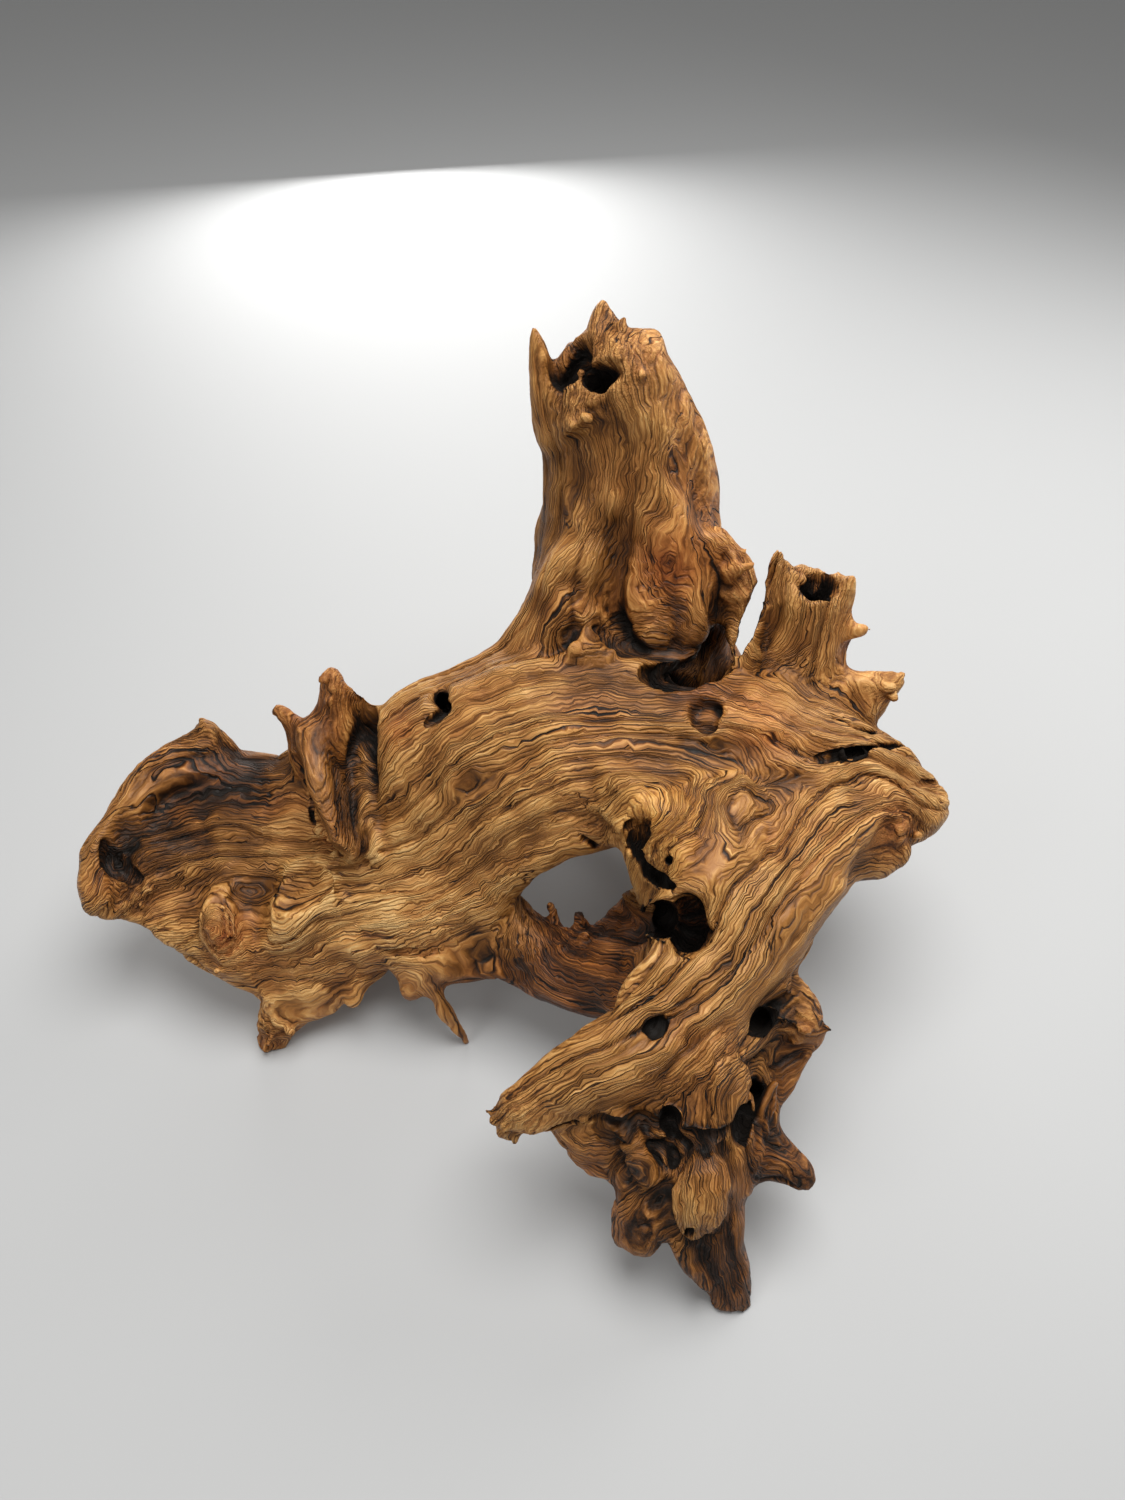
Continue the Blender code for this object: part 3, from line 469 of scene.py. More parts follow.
CUTS = {
    "crater": ((0.0, 0.7, 0.7), [
        (0.104, 0.272, 0.752, 0.026, 0.018),
        (0.106, 0.300, 0.722, 0.025, 0.016),
        (0.110, 0.330, 0.690, 0.014, 0.010),
    ]),
    "throat_gap": (UP, [
        (0.164, 0.154, 0.428, 0.012, 0.014),
        (0.184, 0.156, 0.420, 0.019, 0.024),
        (0.212, 0.162, 0.414, 0.022, 0.026),
        (0.240, 0.180, 0.412, 0.021, 0.024),
        (0.260, 0.212, 0.410, 0.013, 0.016),
    ]),
    "stub_valley": ((0.28, 0.63, 0.72), [
        (0.278, 0.189, 0.481, 0.008, 0.036),
        (0.285, 0.215, 0.458, 0.010, 0.046),
        (0.292, 0.244, 0.432, 0.011, 0.052),
        (0.298, 0.274, 0.405, 0.011, 0.052),
        (0.305, 0.303, 0.379, 0.010, 0.044),
    ]),
    "left_scoop": (UP, [
        (-0.318, 0.012, 0.226, 0.038, 0.030),
        (-0.286, 0.000, 0.232, 0.066, 0.044),
        (-0.250, -0.008, 0.240, 0.070, 0.048),
        (-0.214, -0.006, 0.250, 0.050, 0.038),
    ]),
    "rim_pocket": ((0.5, -0.4, 0.7), [
        (-0.498, 0.066, 0.224, 0.008, 0.010),
        (-0.488, 0.052, 0.206, 0.017, 0.016),
        (-0.470, 0.042, 0.184, 0.010, 0.011),
    ]),
    "boss_slot": ((-0.5, -0.5, 0.7), [
        (0.138, -0.026, 0.364, 0.008, 0.016),
        (0.152, -0.050, 0.336, 0.010, 0.022),
        (0.168, -0.066, 0.332, 0.009, 0.022),
        (0.184, -0.078, 0.334, 0.005, 0.014),
    ]),
    "boss_hole": ((1.0, 0.0, 0.0), [
        (0.176, -0.068, 0.368, 0.005, 0.005),
        (0.184, -0.048, 0.336, 0.004, 0.004),
    ]),
    "boss_slit": ((0.0, -1.0, 0.2), [
        (0.088, 0.000, 0.312, 0.004, 0.012),
        (0.100, 0.004, 0.300, 0.004, 0.012),
        (0.108, 0.000, 0.292, 0.003, 0.010),
    ]),
    "pocket": (FRONT, [
        (0.172, -0.110, 0.318, 0.018, 0.018),
        (0.176, -0.082, 0.276, 0.022, 0.022),
        (0.184, -0.060, 0.246, 0.014, 0.014),
    ]),
    "knob_hole": (UP, [
        (0.276, -0.206, 0.258, 0.009, 0.014),
        (0.282, -0.184, 0.228, 0.008, 0.012),
        (0.286, -0.170, 0.212, 0.004, 0.006),
    ]),
    "foot_gap": (UP, [
        (0.250, -0.322, 0.232, 0.012, 0.024),
        (0.254, -0.282, 0.196, 0.012, 0.024),
        (0.256, -0.256, 0.172, 0.006, 0.012),
    ]),
    "under_arm": (FRONT, [
        (0.040, -0.276, 0.182, 0.004, 0.012),
        (0.090, -0.284, 0.190, 0.006, 0.016),
        (0.150, -0.290, 0.192, 0.007, 0.018),
        (0.205, -0.306, 0.196, 0.007, 0.018),
        (0.246, -0.296, 0.204, 0.005, 0.014),
    ]),
    "fold_gap": ((0.0, -0.7, 0.7), [
        (0.178, -0.276, 0.200, 0.010, 0.018),
        (0.182, -0.294, 0.184, 0.008, 0.016),
        (0.182, -0.312, 0.164, 0.004, 0.010),
    ]),
    "shell_notch": ((0.0, -0.8, 0.6), [
        (0.200, -0.366, 0.142, 0.0028, 0.008),
        (0.196, -0.370, 0.120, 0.0040, 0.010),
    ]),
    "nose_crack": ((0.2, -0.3, 0.9), [
        (0.345, 0.072, 0.368, 0.0024, 0.010),
        (0.395, 0.090, 0.364, 0.0034, 0.016),
        (0.440, 0.110, 0.354, 0.0034, 0.016),
        (0.478, 0.124, 0.338, 0.0030, 0.012),
    ]),
    "stub_gap": ((0.3, -0.3, 0.9), [
        (0.384, 0.134, 0.378, 0.003, 0.010),
        (0.425, 0.126, 0.364, 0.004, 0.012),
        (0.468, 0.140, 0.340, 0.004, 0.012),
    ]),
    "tip_crack": ((0.4, -0.5, 0.8), [
        (0.476, 0.072, 0.328, 0.0028, 0.010),
        (0.500, 0.084, 0.316, 0.0030, 0.012),
        (0.520, 0.096, 0.300, 0.0026, 0.010),
    ]),
    "stub_crack": (FRONT, [
        (0.352, 0.210, 0.470, 0.0026, 0.010),
        (0.342, 0.194, 0.436, 0.0030, 0.014),
        (0.338, 0.170, 0.404, 0.0028, 0.012),
    ]),
    "blade_crack": ((-0.4, -0.7, 0.5), [
        (-0.250, 0.118, 0.300, 0.0028, 0.012),
        (-0.246, 0.104, 0.262, 0.0034, 0.014),
        (-0.238, 0.080, 0.226, 0.0030, 0.012),
    ]),
    "lip_crack": ((-0.1, -0.8, 0.6), [
        (-0.156, -0.046, 0.154, 0.0024, 0.008),
        (-0.114, -0.051, 0.158, 0.0034, 0.012),
        (-0.074, -0.050, 0.168, 0.0026, 0.010),
    ]),
    "prong_slit": ((0.0, -0.4, 0.9), [
        (-0.092, 0.124, 0.374, 0.004, 0.008),
        (-0.074, 0.136, 0.380, 0.008, 0.011),
        (-0.058, 0.148, 0.388, 0.004, 0.008),
    ]),
}
print(len(SHOOTS), "stubs and folds,", len(CUTS), "pits and cracks")

# %% [markdown]
# ## Where the wood is red, pale or dark, and where shade is painted
# The bridge and the foot have redder wood than the slab. They, the other low limbs and the
# undersides are made darker, mostly as painted shade, and the blade and the prongs have darker
# wood. The dish is dark inside: painted shade, with the oil that has pooled there. A few patches
# stand out: the orange teardrop on the trunk, the orange splinters at both ends and the pale burl
# in the middle. Other patches paint shade into the crater, the throat, the rim pocket and the gap
# under the arm. Below zero, red means pale and dark means light.

# %% Name the shades
# Mostly painted shade: low limbs and undersides are darker where less light reaches them. The blade and
# the prongs also have darker wood, and the plate is a little lighter.
SHADE_AND_TONE_LIMBS = {"bridge": 0.58, "foot": 0.74, "taproot": 0.35, "right_leg": 0.30, "left_leg": 0.35,
              "hanging_lobe": 0.40, "left_lobe": 0.44, "right_lobe": 0.50, "fin": 0.36,
              "knob": 0.30, "prong": 0.30, "left_prong": 0.40, "blade": 0.42, "dish_rim": 0.15,
              "trunk": 0.12, "arm": 0.07, "plate": -0.04, "plate_keel": 0.40, "slab_keel": 0.40, "under_root": 0.40, "cross_root": 0.35,
              "back_root": 0.30, "stick": 0.15}

# Each shade is (x, y, z, radius, red, dark). Dark paints shade into the dish, the crater, the
# throat, the rim pocket, the gap under the arm and other recesses, and below zero makes wood lighter.
SHADES = [
    (-0.394, 0.131, 0.230, 0.070, 0.1, 0.68),
    (-0.326, 0.160, 0.246, 0.055, 0.1, 0.65),
    (-0.448, 0.068, 0.208, 0.045, 0.1, 0.50),
    (-0.180, 0.090, 0.280, 0.050, 0.1, 0.30),
    (-0.240, -0.020, 0.180, 0.060, 0.0, -0.20),
    (-0.222, 0.066, 0.236, 0.020, 0.8, -0.20),
    (0.080, 0.345, 0.718, 0.030, 0.1, 0.45),
    (0.200, -0.290, 0.195, 0.045, 0.1, 0.30),
    (0.190, 0.225, 0.450, 0.040, 0.1, 0.30),
    (-0.500, 0.022, 0.196, 0.026, 0.4, -0.35),
    (-0.488, 0.056, 0.206, 0.036, 0.1, 0.60),
    (0.210, 0.172, 0.404, 0.045, 0.1, 1.20),
    (-0.167, -0.001, 0.199, 0.110, 0.0, -0.40),
    (-0.131, -0.050, 0.153, 0.035, -0.1, -0.20),
    (-0.132, 0.135, 0.363, 0.024, 0.8, -0.10),
    (0.109, 0.134, 0.421, 0.050, 0.0, 0.30),
    (0.291, 0.099, 0.399, 0.036, 0.7, 0.0),
    (0.213, 0.128, 0.410, 0.040, 0.4, 0.10),
    (0.153, 0.058, 0.385, 0.040, 0.0, 0.20),
    (0.209, -0.069, 0.266, 0.045, 0.6, 0.0),
    (0.298, -0.094, 0.330, 0.060, 0.2, -0.10),
    (0.411, 0.067, 0.341, 0.050, 0.1, -0.15),
    (0.186, 0.228, 0.530, 0.032, 0.9, -0.05),
    (0.207, -0.340, 0.168, 0.030, 0.1, -0.15),
    (0.453, 0.028, 0.297, 0.035, 0.5, 0.0),
    (-0.343, -0.034, 0.163, 0.030, 0.8, -0.10),
    (0.214, -0.052, 0.362, 0.045, -0.35, -0.04),
    (0.160, -0.018, 0.389, 0.045, -0.35, -0.04),
]
print(len(SHADE_AND_TONE_LIMBS), "dark limbs and", len(SHADES), "shades")

# %% [markdown]
# ## Wrap sockets for sums
# Both the splinters and the wood's finish are made with node trees, and most of a tree is sums.
# Wiring each Math node by hand hides the sum, so a small class wraps a socket, and + - * / on it
# add the node. Any other node comes from its method node(), which takes the settings first and
# then the values or links.

# %% Wrap sockets for sums

class Wire:
    """A socket in a node tree that can be used in sums."""

    def __init__(self, tree, socket=None):
        self.tree = tree
        self.socket = socket

    def node(self, kind, settings=None, inputs=None, output=0):
        made = self.tree.nodes.new(kind)
        for name, value in (settings or {}).items():
            if name == "stops":
                set_stops(made.color_ramp, value)
            else:
                setattr(made, name, value)
        for name, value in (inputs or {}).items():
            if isinstance(value, Wire):
                self.tree.links.new(value.socket, made.inputs[name])
            else:
                made.inputs[name].default_value = value
        return Wire(self.tree, made.outputs[output] if made.outputs else None)

    def sum(self, operation, *others, clamp=False):
        settings = {"operation": operation, "use_clamp": clamp}
        return self.node("ShaderNodeMath", settings, dict(enumerate((self, *others))))

    def __add__(self, other):
        return self.sum("ADD", other)

    def __sub__(self, other):
        return self.sum("SUBTRACT", other)

    def __rsub__(self, other):
        return self.sum("MULTIPLY_ADD", -1.0, other)

    def __mul__(self, other):
        return self.sum("MULTIPLY", other)

    def __truediv__(self, other):
        return self.sum("DIVIDE", other)

    __radd__ = __add__
    __rmul__ = __mul__

    def clamped(self):
        return self.sum("ADD", 0.0, clamp=True)

    def between(self, low, high):
        """0 below low, 1 above high, and smooth between."""
        inputs = {"Value": self, "From Min": low, "From Max": high}
        return self.node("ShaderNodeMapRange", {"interpolation_type": "SMOOTHSTEP"}, inputs)


def set_stops(ramp, stops):
    """Sets a ramp's stops from (place, grey or colour) pairs."""
    while len(ramp.elements) < len(stops):
        ramp.elements.new(0.5)
    for element, (place, value) in zip(ramp.elements, stops):
        element.position = place
        element.color = (*((value,) * 3 if isinstance(value, float) else value), 1)


print("sockets can be added, multiplied and blended")

# %% [markdown]
# ## From the model to a rounded root
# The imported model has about 11,000 flat faces. Its points are merged first, and Subdivision
# Surface rounds it. Each point is then told how torn the wood is there, from the list above.

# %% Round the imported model
ROUNDING = 2


def baked(obj):
    """Puts the evaluated mesh in place of the mesh and its modifiers."""
    graph = bpy.context.evaluated_depsgraph_get()
    mesh = bpy.data.meshes.new_from_object(obj.evaluated_get(graph))
    obj.modifiers.clear()
    obj.data = mesh


def new_object(build, name):
    """An object from a bmesh, linked to the scene."""
    mesh = bpy.data.meshes.new(name)
    build.to_mesh(mesh)
    build.free()
    obj = bpy.data.objects.new(name, mesh)
    bpy.context.scene.collection.objects.link(obj)
    return obj


def rows_of(mesh, name, wide=3):
    values = np.empty(len(mesh.vertices) * wide, np.float32)
    mesh.vertices.foreach_get(name, values)
    return values.reshape(-1, wide).astype(float)


def store(mesh, name, values):
    """Writes one number for each point, for node trees to read."""
    written = mesh.attributes.new(name, "FLOAT", "POINT")
    written.data.foreach_set("value", values.astype(np.float32))


def torn_share(points):
    """From 0, whole wood, to 1, torn wood."""
    made = np.zeros(len(points))
    for x, y, z, radius, rough in TORN:
        far = np.linalg.norm(points - (x, y, z), axis=1) / radius
        made = np.maximum(made, rough * np.clip(1.6 - far, 0, 1))
    return made


build = bmesh.new()
build.from_mesh(cad_root.data)
bmesh.ops.remove_doubles(build, verts=build.verts, dist=1e-6)
root_wood = new_object(build, "root_wood")
rounding = root_wood.modifiers.new("round", "SUBSURF")
rounding.levels = rounding.render_levels = ROUNDING
baked(root_wood)
points = rows_of(root_wood.data, "co")
store(root_wood.data, "torn", torn_share(points))
print("rounded root:", len(points), "points")

# %% [markdown]
# ## Splinters on the torn ends
# Where a root tears, it leaves short blunt splinters, leaning every way. A Geometry Nodes tree
# scatters them: points fall on the skin as densely as it is torn, each takes a small cone with a
# broken tip, leant and scaled at random from a fixed seed, and sunk in a little so that it joins.

# %% Scatter the splinters
SPLINTERS = {"Density": 3000.0, "Length": 0.010, "Thickness": 0.0060, "Lean": 0.9, "Seed": 11}


def splinter_tree():
    tree = bpy.data.node_groups.new("splinters", "GeometryNodeTree")
    tree.interface.new_socket("Geometry", in_out="INPUT", socket_type="NodeSocketGeometry")
    for name, value in SPLINTERS.items():
        kind = "NodeSocketInt" if isinstance(value, int) else "NodeSocketFloat"
        tree.interface.new_socket(name, in_out="INPUT", socket_type=kind)
    tree.interface.new_socket("Material", in_out="INPUT", socket_type="NodeSocketMaterial")
    tree.interface.new_socket("Geometry", in_out="OUTPUT", socket_type="NodeSocketGeometry")
    given = tree.nodes.new("NodeGroupInput").outputs
    start = Wire(tree)

    def input_of(name):
        return Wire(tree, given[name])

    torn = start.node("GeometryNodeInputNamedAttribute", {"data_type": "FLOAT"}, {"Name": "torn"})
    scatter = start.node("GeometryNodeDistributePointsOnFaces", None, {
        "Mesh": input_of("Geometry"), "Density": torn * torn * input_of("Density"),
        "Seed": input_of("Seed")})
    upright = Wire(tree, scatter.socket.node.outputs["Rotation"])
    lean = input_of("Lean")
    angles = start.node("FunctionNodeRandomValue", {"data_type": "FLOAT_VECTOR"}, {
        0: (-1.0, -1.0, -3.0), 1: (1.0, 1.0, 3.0), "Seed": input_of("Seed")})
    leant = start.node("ShaderNodeVectorMath", {"operation": "SCALE"}, {0: angles, 3: lean})
    turned = start.node("FunctionNodeRotateRotation", {"rotation_space": "LOCAL"}, {
        0: upright, 1: start.node("FunctionNodeEulerToRotation", None, {0: leant})})
    size = start.node("FunctionNodeRandomValue", {"data_type": "FLOAT"}, {
        2: 0.5, 3: 1.15, "Seed": input_of("Seed") + 1.0}, 1)
    scale = start.node("ShaderNodeCombineXYZ", None, {
        0: size * input_of("Thickness"), 1: size * input_of("Thickness"),
        2: size * size * input_of("Length")})
    cone = start.node("GeometryNodeMeshCone", None, {
        "Vertices": 6, "Radius Top": 0.55, "Radius Bottom": 1.0, "Depth": 1.0})
    placed = start.node("GeometryNodeInstanceOnPoints", None, {
        "Points": scatter, "Instance": cone, "Rotation": turned, "Scale": scale})
    sunk = start.node("GeometryNodeTranslateInstances", None, {
        "Instances": placed, "Translation": (0.0, 0.0, -0.003), "Local Space": True})
    solid = start.node("GeometryNodeRealizeInstances", None, {0: sunk})
    finished = start.node("GeometryNodeSetMaterial", None, {
        "Geometry": solid, "Material": input_of("Material")})
    start.node("NodeGroupOutput", None, {0: finished})
    return tree


splinters = root_wood.copy()
bpy.context.scene.collection.objects.link(splinters)
scatter = splinters.modifiers.new("splinters", "NODES")
scatter.node_group = splinter_tree()
for socket in scatter.node_group.interface.items_tree:
    if socket.name in SPLINTERS:
        scatter[socket.identifier] = SPLINTERS[socket.name]
baked(splinters)
print("splinters:", len(splinters.data.vertices), "points")

# %% [markdown]
# ## Tubes for the stubs, folds and cracks
# A tube follows a smooth curve through its stations and has the section that each one gives. Its
# points are shaken a little by noise, so that no pit has a drilled, round mouth.

# %% Make the tubes
STEPS = 7
SIDES = 12
DOME = (0.94, 0.77, 0.45)
SHAKE = (0.011, 0.0028)


def unit(rows):
    return rows / np.linalg.norm(rows, axis=-1, keepdims=True)


def smooth_rows(stations):
    """Rows along a Catmull-Rom curve through the stations."""
    rows = np.array(stations, float)
    rows = np.vstack([2 * rows[0] - rows[1], rows, 2 * rows[-1] - rows[-2]])
    made = [0.5 * (2 * b + (c - a) * t + (2 * a - 5 * b + 4 * c - d) * t**2
                   + (3 * b - a - 3 * c + d) * t**3)
            for a, b, c, d in zip(rows, rows[1:], rows[2:], rows[3:])
            for t in np.arange(STEPS) / STEPS]
    return np.array(made + [rows[-2]])


def sections(flat_side, stations):
    """The centres, tangents, across and outward directions and half sizes along a curve."""
    rows = smooth_rows(stations)
    centres = rows[:, :3]
    tangents = unit(np.gradient(centres, axis=0))
    across = unit(np.cross(flat_side, tangents))
    return centres, tangents, across, np.cross(tangents, across), rows[:, 3:]


def add_tube(build, flat_side, stations):
    """Adds a closed tube with domed ends."""
    centres, tangents, across, outward, halves = sections(flat_side, stations)
    rings = []

    def add_ring(k, share, ahead):
        ring = []
        for turn in np.arange(SIDES) * math.tau / SIDES:
            width, depth = halves[k] * share
            place = (centres[k] + tangents[k] * ahead + width * math.cos(turn) * across[k]
                     + depth * math.sin(turn) * outward[k])
            shaken = noise.noise_vector(Vector(place / SHAKE[0])) * min(SHAKE[1], width * 0.5)
            ring.append(build.verts.new(Vector(place) + shaken))
        rings.append(ring)

    for share in reversed(DOME):
        add_ring(0, share, -math.sqrt(1 - share**2) * halves[0].min())
    for k in range(len(centres)):
        add_ring(k, 1.0, 0.0)
    for share in DOME:
        add_ring(-1, share, math.sqrt(1 - share**2) * halves[-1].min())
    for low, high in zip(rings, rings[1:]):
        for i in range(SIDES):
            j = (i + 1) % SIDES
            build.faces.new((low[i], low[j], high[j], high[i]))
    build.faces.new(rings[0][::-1])
    build.faces.new(rings[-1])


def tubes(name, which, *others):
    """One object of all the tubes, with the other meshes in it."""
    build = bmesh.new()
    for flat_side, stations in which.values():
        add_tube(build, flat_side, stations)
    bmesh.ops.recalc_face_normals(build, faces=build.faces)
    for mesh in others:
        build.from_mesh(mesh)
    return new_object(build, name)


def fused(obj, voxel):
    """Joins what overlaps by a voxel Remesh."""
    remesh = obj.modifiers.new("fuse", "REMESH")
    remesh.mode = "VOXEL"
    remesh.voxel_size = voxel
    baked(obj)


def keep_largest(obj):
    """Removes loose scraps and closed bubbles, and gives their number."""
    build = bmesh.new()
    build.from_mesh(obj.data)
    unseen = set(build.verts)
    bodies = []
    while unseen:
        front = [unseen.pop()]
        body = []
        while front:
            vert = front.pop()
            body.append(vert)
            for edge in vert.link_edges:
                other = edge.other_vert(vert)
                if other in unseen:
                    unseen.remove(other)
                    front.append(other)
        bodies.append(body)
    bodies.sort(key=len)
    for body in bodies[:-1]:
        bmesh.ops.delete(build, geom=body, context="VERTS")
    build.to_mesh(obj.data)
    build.free()
    return len(bodies) - 1


cuts = tubes("cuts", CUTS)
fused(cuts, 0.0012)
print("pits and cracks:", len(cuts.data.vertices), "points")

# %% [markdown]
# ## One skin over everything
# A voxel Remesh joins the root, its stubs and its splinters into one closed skin. A Boolean takes
# the pits and cracks out, and a second Remesh lays an even net of small squares over the result.
# Scraps that the cutting left loose are removed, so that the root is one body.
# An even net is the best ground for carving by numbers, because each point can move by the same
# rules.

# %% Lay the fine net
NET = 0.0026

whole = tubes("whole", SHOOTS, root_wood.data, splinters.data)
fused(whole, NET)
cut = whole.modifiers.new("cut", "BOOLEAN")
cut.operation = "DIFFERENCE"
cut.solver = "MANIFOLD"
cut.object = cuts
baked(whole)
fused(whole, NET)
scraps = keep_largest(whole)
root_wood.data = whole.data
for spare in (splinters, cuts, whole):
    bpy.data.objects.remove(spare)
points = rows_of(root_wood.data, "co")
print("fine net:", len(points), "points,", scraps, "loose scraps removed")

# %% [markdown]
# ## Places along a limb
# Flutes and grain both run along their root, so each point's place along, across and out from
# the nearest limb's middle line is needed. A point near the limb's own skin belongs to it, and
# one that lies between two limbs belongs to both.

# %% Find places along the limbs
REACH = 0.06


def near_limb(points, limb):
    """The points that a limb reaches, their places along, across and out, how far they are from
    its skin, its size there, and the way it runs."""
    flat_side, _, _, _, stations = limb
    centres, tangents, across, outward, halves = sections(flat_side, stations)
    centres = centres + ORIGIN
    lengths = np.linalg.norm(np.diff(centres, axis=0), axis=1)
    travelled = np.concatenate([[0], np.cumsum(lengths)])
    margin = halves.max() + REACH
    inside = ((points > centres.min(0) - margin) & (points < centres.max(0) + margin)).all(1)
    who = np.nonzero(inside)[0]
    near = points[who]
    squares = (centres**2).sum(1) - 2 * near @ centres.T
    nearest = np.argmin(squares, axis=1)
    offset = near - centres[nearest]
    ahead = (offset * tangents[nearest]).sum(1)
    sideways = (offset * across[nearest]).sum(1)
    out = (offset * outward[nearest]).sum(1)
    width, depth = halves[nearest].T
    past = np.where(nearest == 0, np.minimum(ahead, 0), 0)
    past = np.where(nearest == len(centres) - 1, np.maximum(ahead, 0), past)
    size = np.sqrt(width * depth)
    radius = np.sqrt((sideways / width)**2 + (out / depth)**2 + (past / depth)**2)
    away = np.abs(radius - 1) * size
    return who, travelled[nearest] + ahead, sideways, out, away, size, tangents[nearest]


def noise_rows(places, octaves=1):
    """Smooth noise, about -1 to 1, at rows of places."""
    return np.array([noise.fractal(p, 1.0, 2.1, octaves) for p in places.tolist()])


print("the arm reaches", len(near_limb(points, LIMBS["arm"])[0]), "points")

# %% [markdown]
# ## Year rings through the whole root
# Year rings are shells round the pith. On this root they show as long lines, nearly parallel to
# each limb, because the stump's pith lay far to one side of them. So each point gets a ring
# number, its distance from a pith that lies past the limb's edge, bent by slow noise. Limbs that
# meet would break each other's lines, so each limb is shifted, and turned over if need be, to fit
# the limbs before it. Then the lines flow from one into the next, as they do in a crotch. Where
# several limbs meet, RULE says which one the grain mostly follows.

# %% Find the rings
GRAIN_BLEND = 0.014
PITH_AWAY = 0.15
SLOW_BEND = (0.10, 0.34, 0.012)
QUICK_BEND = (0.030, 0.13, 0.0022)
FULL_SIZE = 0.045
APART = 7.3
ENOUGH = 0.05
RULE = {"plate": 3.0, "arm": 4.0, "trunk": 5.0, "boss": 0.4, "foot": 0.6, "front_leg": 0.12,
        "nose_chin": 0.6, "stub_heel": 0.7, "shoulder": 1.5, "belly": 0.5, "trunk_ridge": 0.6,
        "taproot": 0.4, "plate_keel": 0.3, "slab_keel": 0.3}

fits = {}


def bend(along, sideways, out, number, sizes):
    across, length, reach = sizes
    places = np.column_stack([along / length, sideways / across, out / across + number * APART])
    return reach * noise_rows(places)


def best_fit(ring, settled, weight):
    """The side and the shift that bring a limb's rings nearest to the settled ones."""
    if weight.sum() < ENOUGH:
        return 1.0, -ring.mean()
    found = []
    for turned in (1.0, -1.0):
        shift = np.average(settled - turned * ring, weights=weight)
        miss = np.average((settled - turned * ring - shift)**2, weights=weight)
        found.append((miss, turned, shift))
    return min(found)[1:]


def grain_at(points):
    """Each point's ring number and the rest that it takes from the limbs near it."""
    sums = {name: np.zeros(len(points)) for name in ("ring", "side", "rugged", "red", "dark")}
    total = np.full(len(points), 1e-9)
    strongest = np.zeros(len(points))
    way = np.tile((1.0, 0.0, 0.0), (len(points), 1))
    for number, (name, limb) in enumerate(LIMBS.items()):
        _, (across, deep), rugged, redness, _ = limb
        who, along, sideways, out, away, size, tangents = near_limb(points, limb)
        weight = np.exp(-away / GRAIN_BLEND) * np.clip(1 - away / REACH, 0, 1)
        weight *= RULE.get(name, 1.0)
        pith = across + math.copysign(PITH_AWAY, across)
        ring = np.hypot(sideways - pith, out - deep)
        ring += bend(along, sideways, out, number, SLOW_BEND)
        ring += bend(along, sideways, out, number, QUICK_BEND)
        if name not in fits:
            fits[name] = best_fit(ring, sums["ring"][who] / total[who],
                                  weight * np.minimum(total[who], 1) + 1e-12)
        turned, shift = fits[name]
        shares = {"ring": turned * ring + shift, "side": out, "red": redness,
                  "rugged": rugged * np.minimum(size / FULL_SIZE, 1),
                  "dark": SHADE_AND_TONE_LIMBS.get(name, 0)}
        for key, value in shares.items():
            sums[key][who] += weight * value
        total[who] += weight
        stronger = weight > strongest[who]
        way[who[stronger]] = tangents[stronger]
        strongest[who] = np.maximum(strongest[who], weight)
    return {key: value / total for key, value in sums.items()}, way


grain, way = grain_at(points)
print("rings: from", round(grain["ring"].min(), 3), "to", round(grain["ring"].max(), 3), "m")

# %% [markdown]
# ## Carve the flutes
# Brushing takes the soft early wood and leaves the hard wood standing, so a root's skin is fluted
# along its grain. Three sizes of noise, read on the ring number and drawn out along the limb,
# make the flutes, so that they follow the lines that the colour will draw. A fourth is folded so
# that it makes narrow grooves with sharp floors, as the weather does.

# %% Carve the flutes
FLUTES = ((0.040, 0.0030), (0.018, 0.0020), (0.009, 0.0008))
STRETCH = 9.0
SIDE_STRETCH = 1.8
GROOVE_WIDTH = 0.026
GROOVE_DEPTH = 0.0050
GROOVE_SHARPNESS = 6
HUB = (0.136, 0.170, 0.300)

along = np.linalg.norm(points - HUB, axis=1)


def grain_noise(who, width, stretch, shift):
    """Noise that is as wide as given across the grain and stretched along it."""
    return noise_rows(np.column_stack([
        grain["ring"][who] / width + shift, grain["side"][who] / (width * SIDE_STRETCH),
        along[who] / (width * stretch)]))


everywhere = np.arange(len(points))
relief = np.zeros(len(points))
for width, rise in FLUTES:
    relief += rise * grain_noise(everywhere, width, STRETCH, APART)
folded = 1 - np.abs(grain_noise(everywhere, GROOVE_WIDTH, STRETCH, 3 * APART))
relief -= GROOVE_DEPTH * np.maximum(folded, 0)**GROOVE_SHARPNESS
relief *= grain["rugged"]
print("flutes: from", round(relief.min() * 1000, 1), "to", round(relief.max() * 1000, 1), "mm")

# %% [markdown]
# ## Add knots and rough ends
# A knot is a low dome with a ring round it, longer along the grain than across. A torn place gets
# ridged noise, which has sharp crests like splintered wood, and small lumps all over keep the
# rest from looking cast.

# %% Add knots and rough ends
KNOT_LENGTH = 1.9
TORN_SIZES = ((0.020, 0.0042), (0.010, 0.0024))
TORN_STRETCH = 3.0
LUMPS = ((0.030, 0.0014), (0.009, 0.0005))


def knot_places(points, way):
    """For each knot: its nearest point, each point's distance in radii, its radius and height."""
    for x, y, z, radius, height in KNOTS:
        offset = points - (x, y, z)
        straight = np.linalg.norm(offset, axis=1)
        nearest = int(np.argmin(straight))
        ahead = offset @ way[nearest]
        far = np.sqrt(straight**2 - (1 - KNOT_LENGTH**-2) * ahead**2) / radius
        yield nearest, far, radius, height


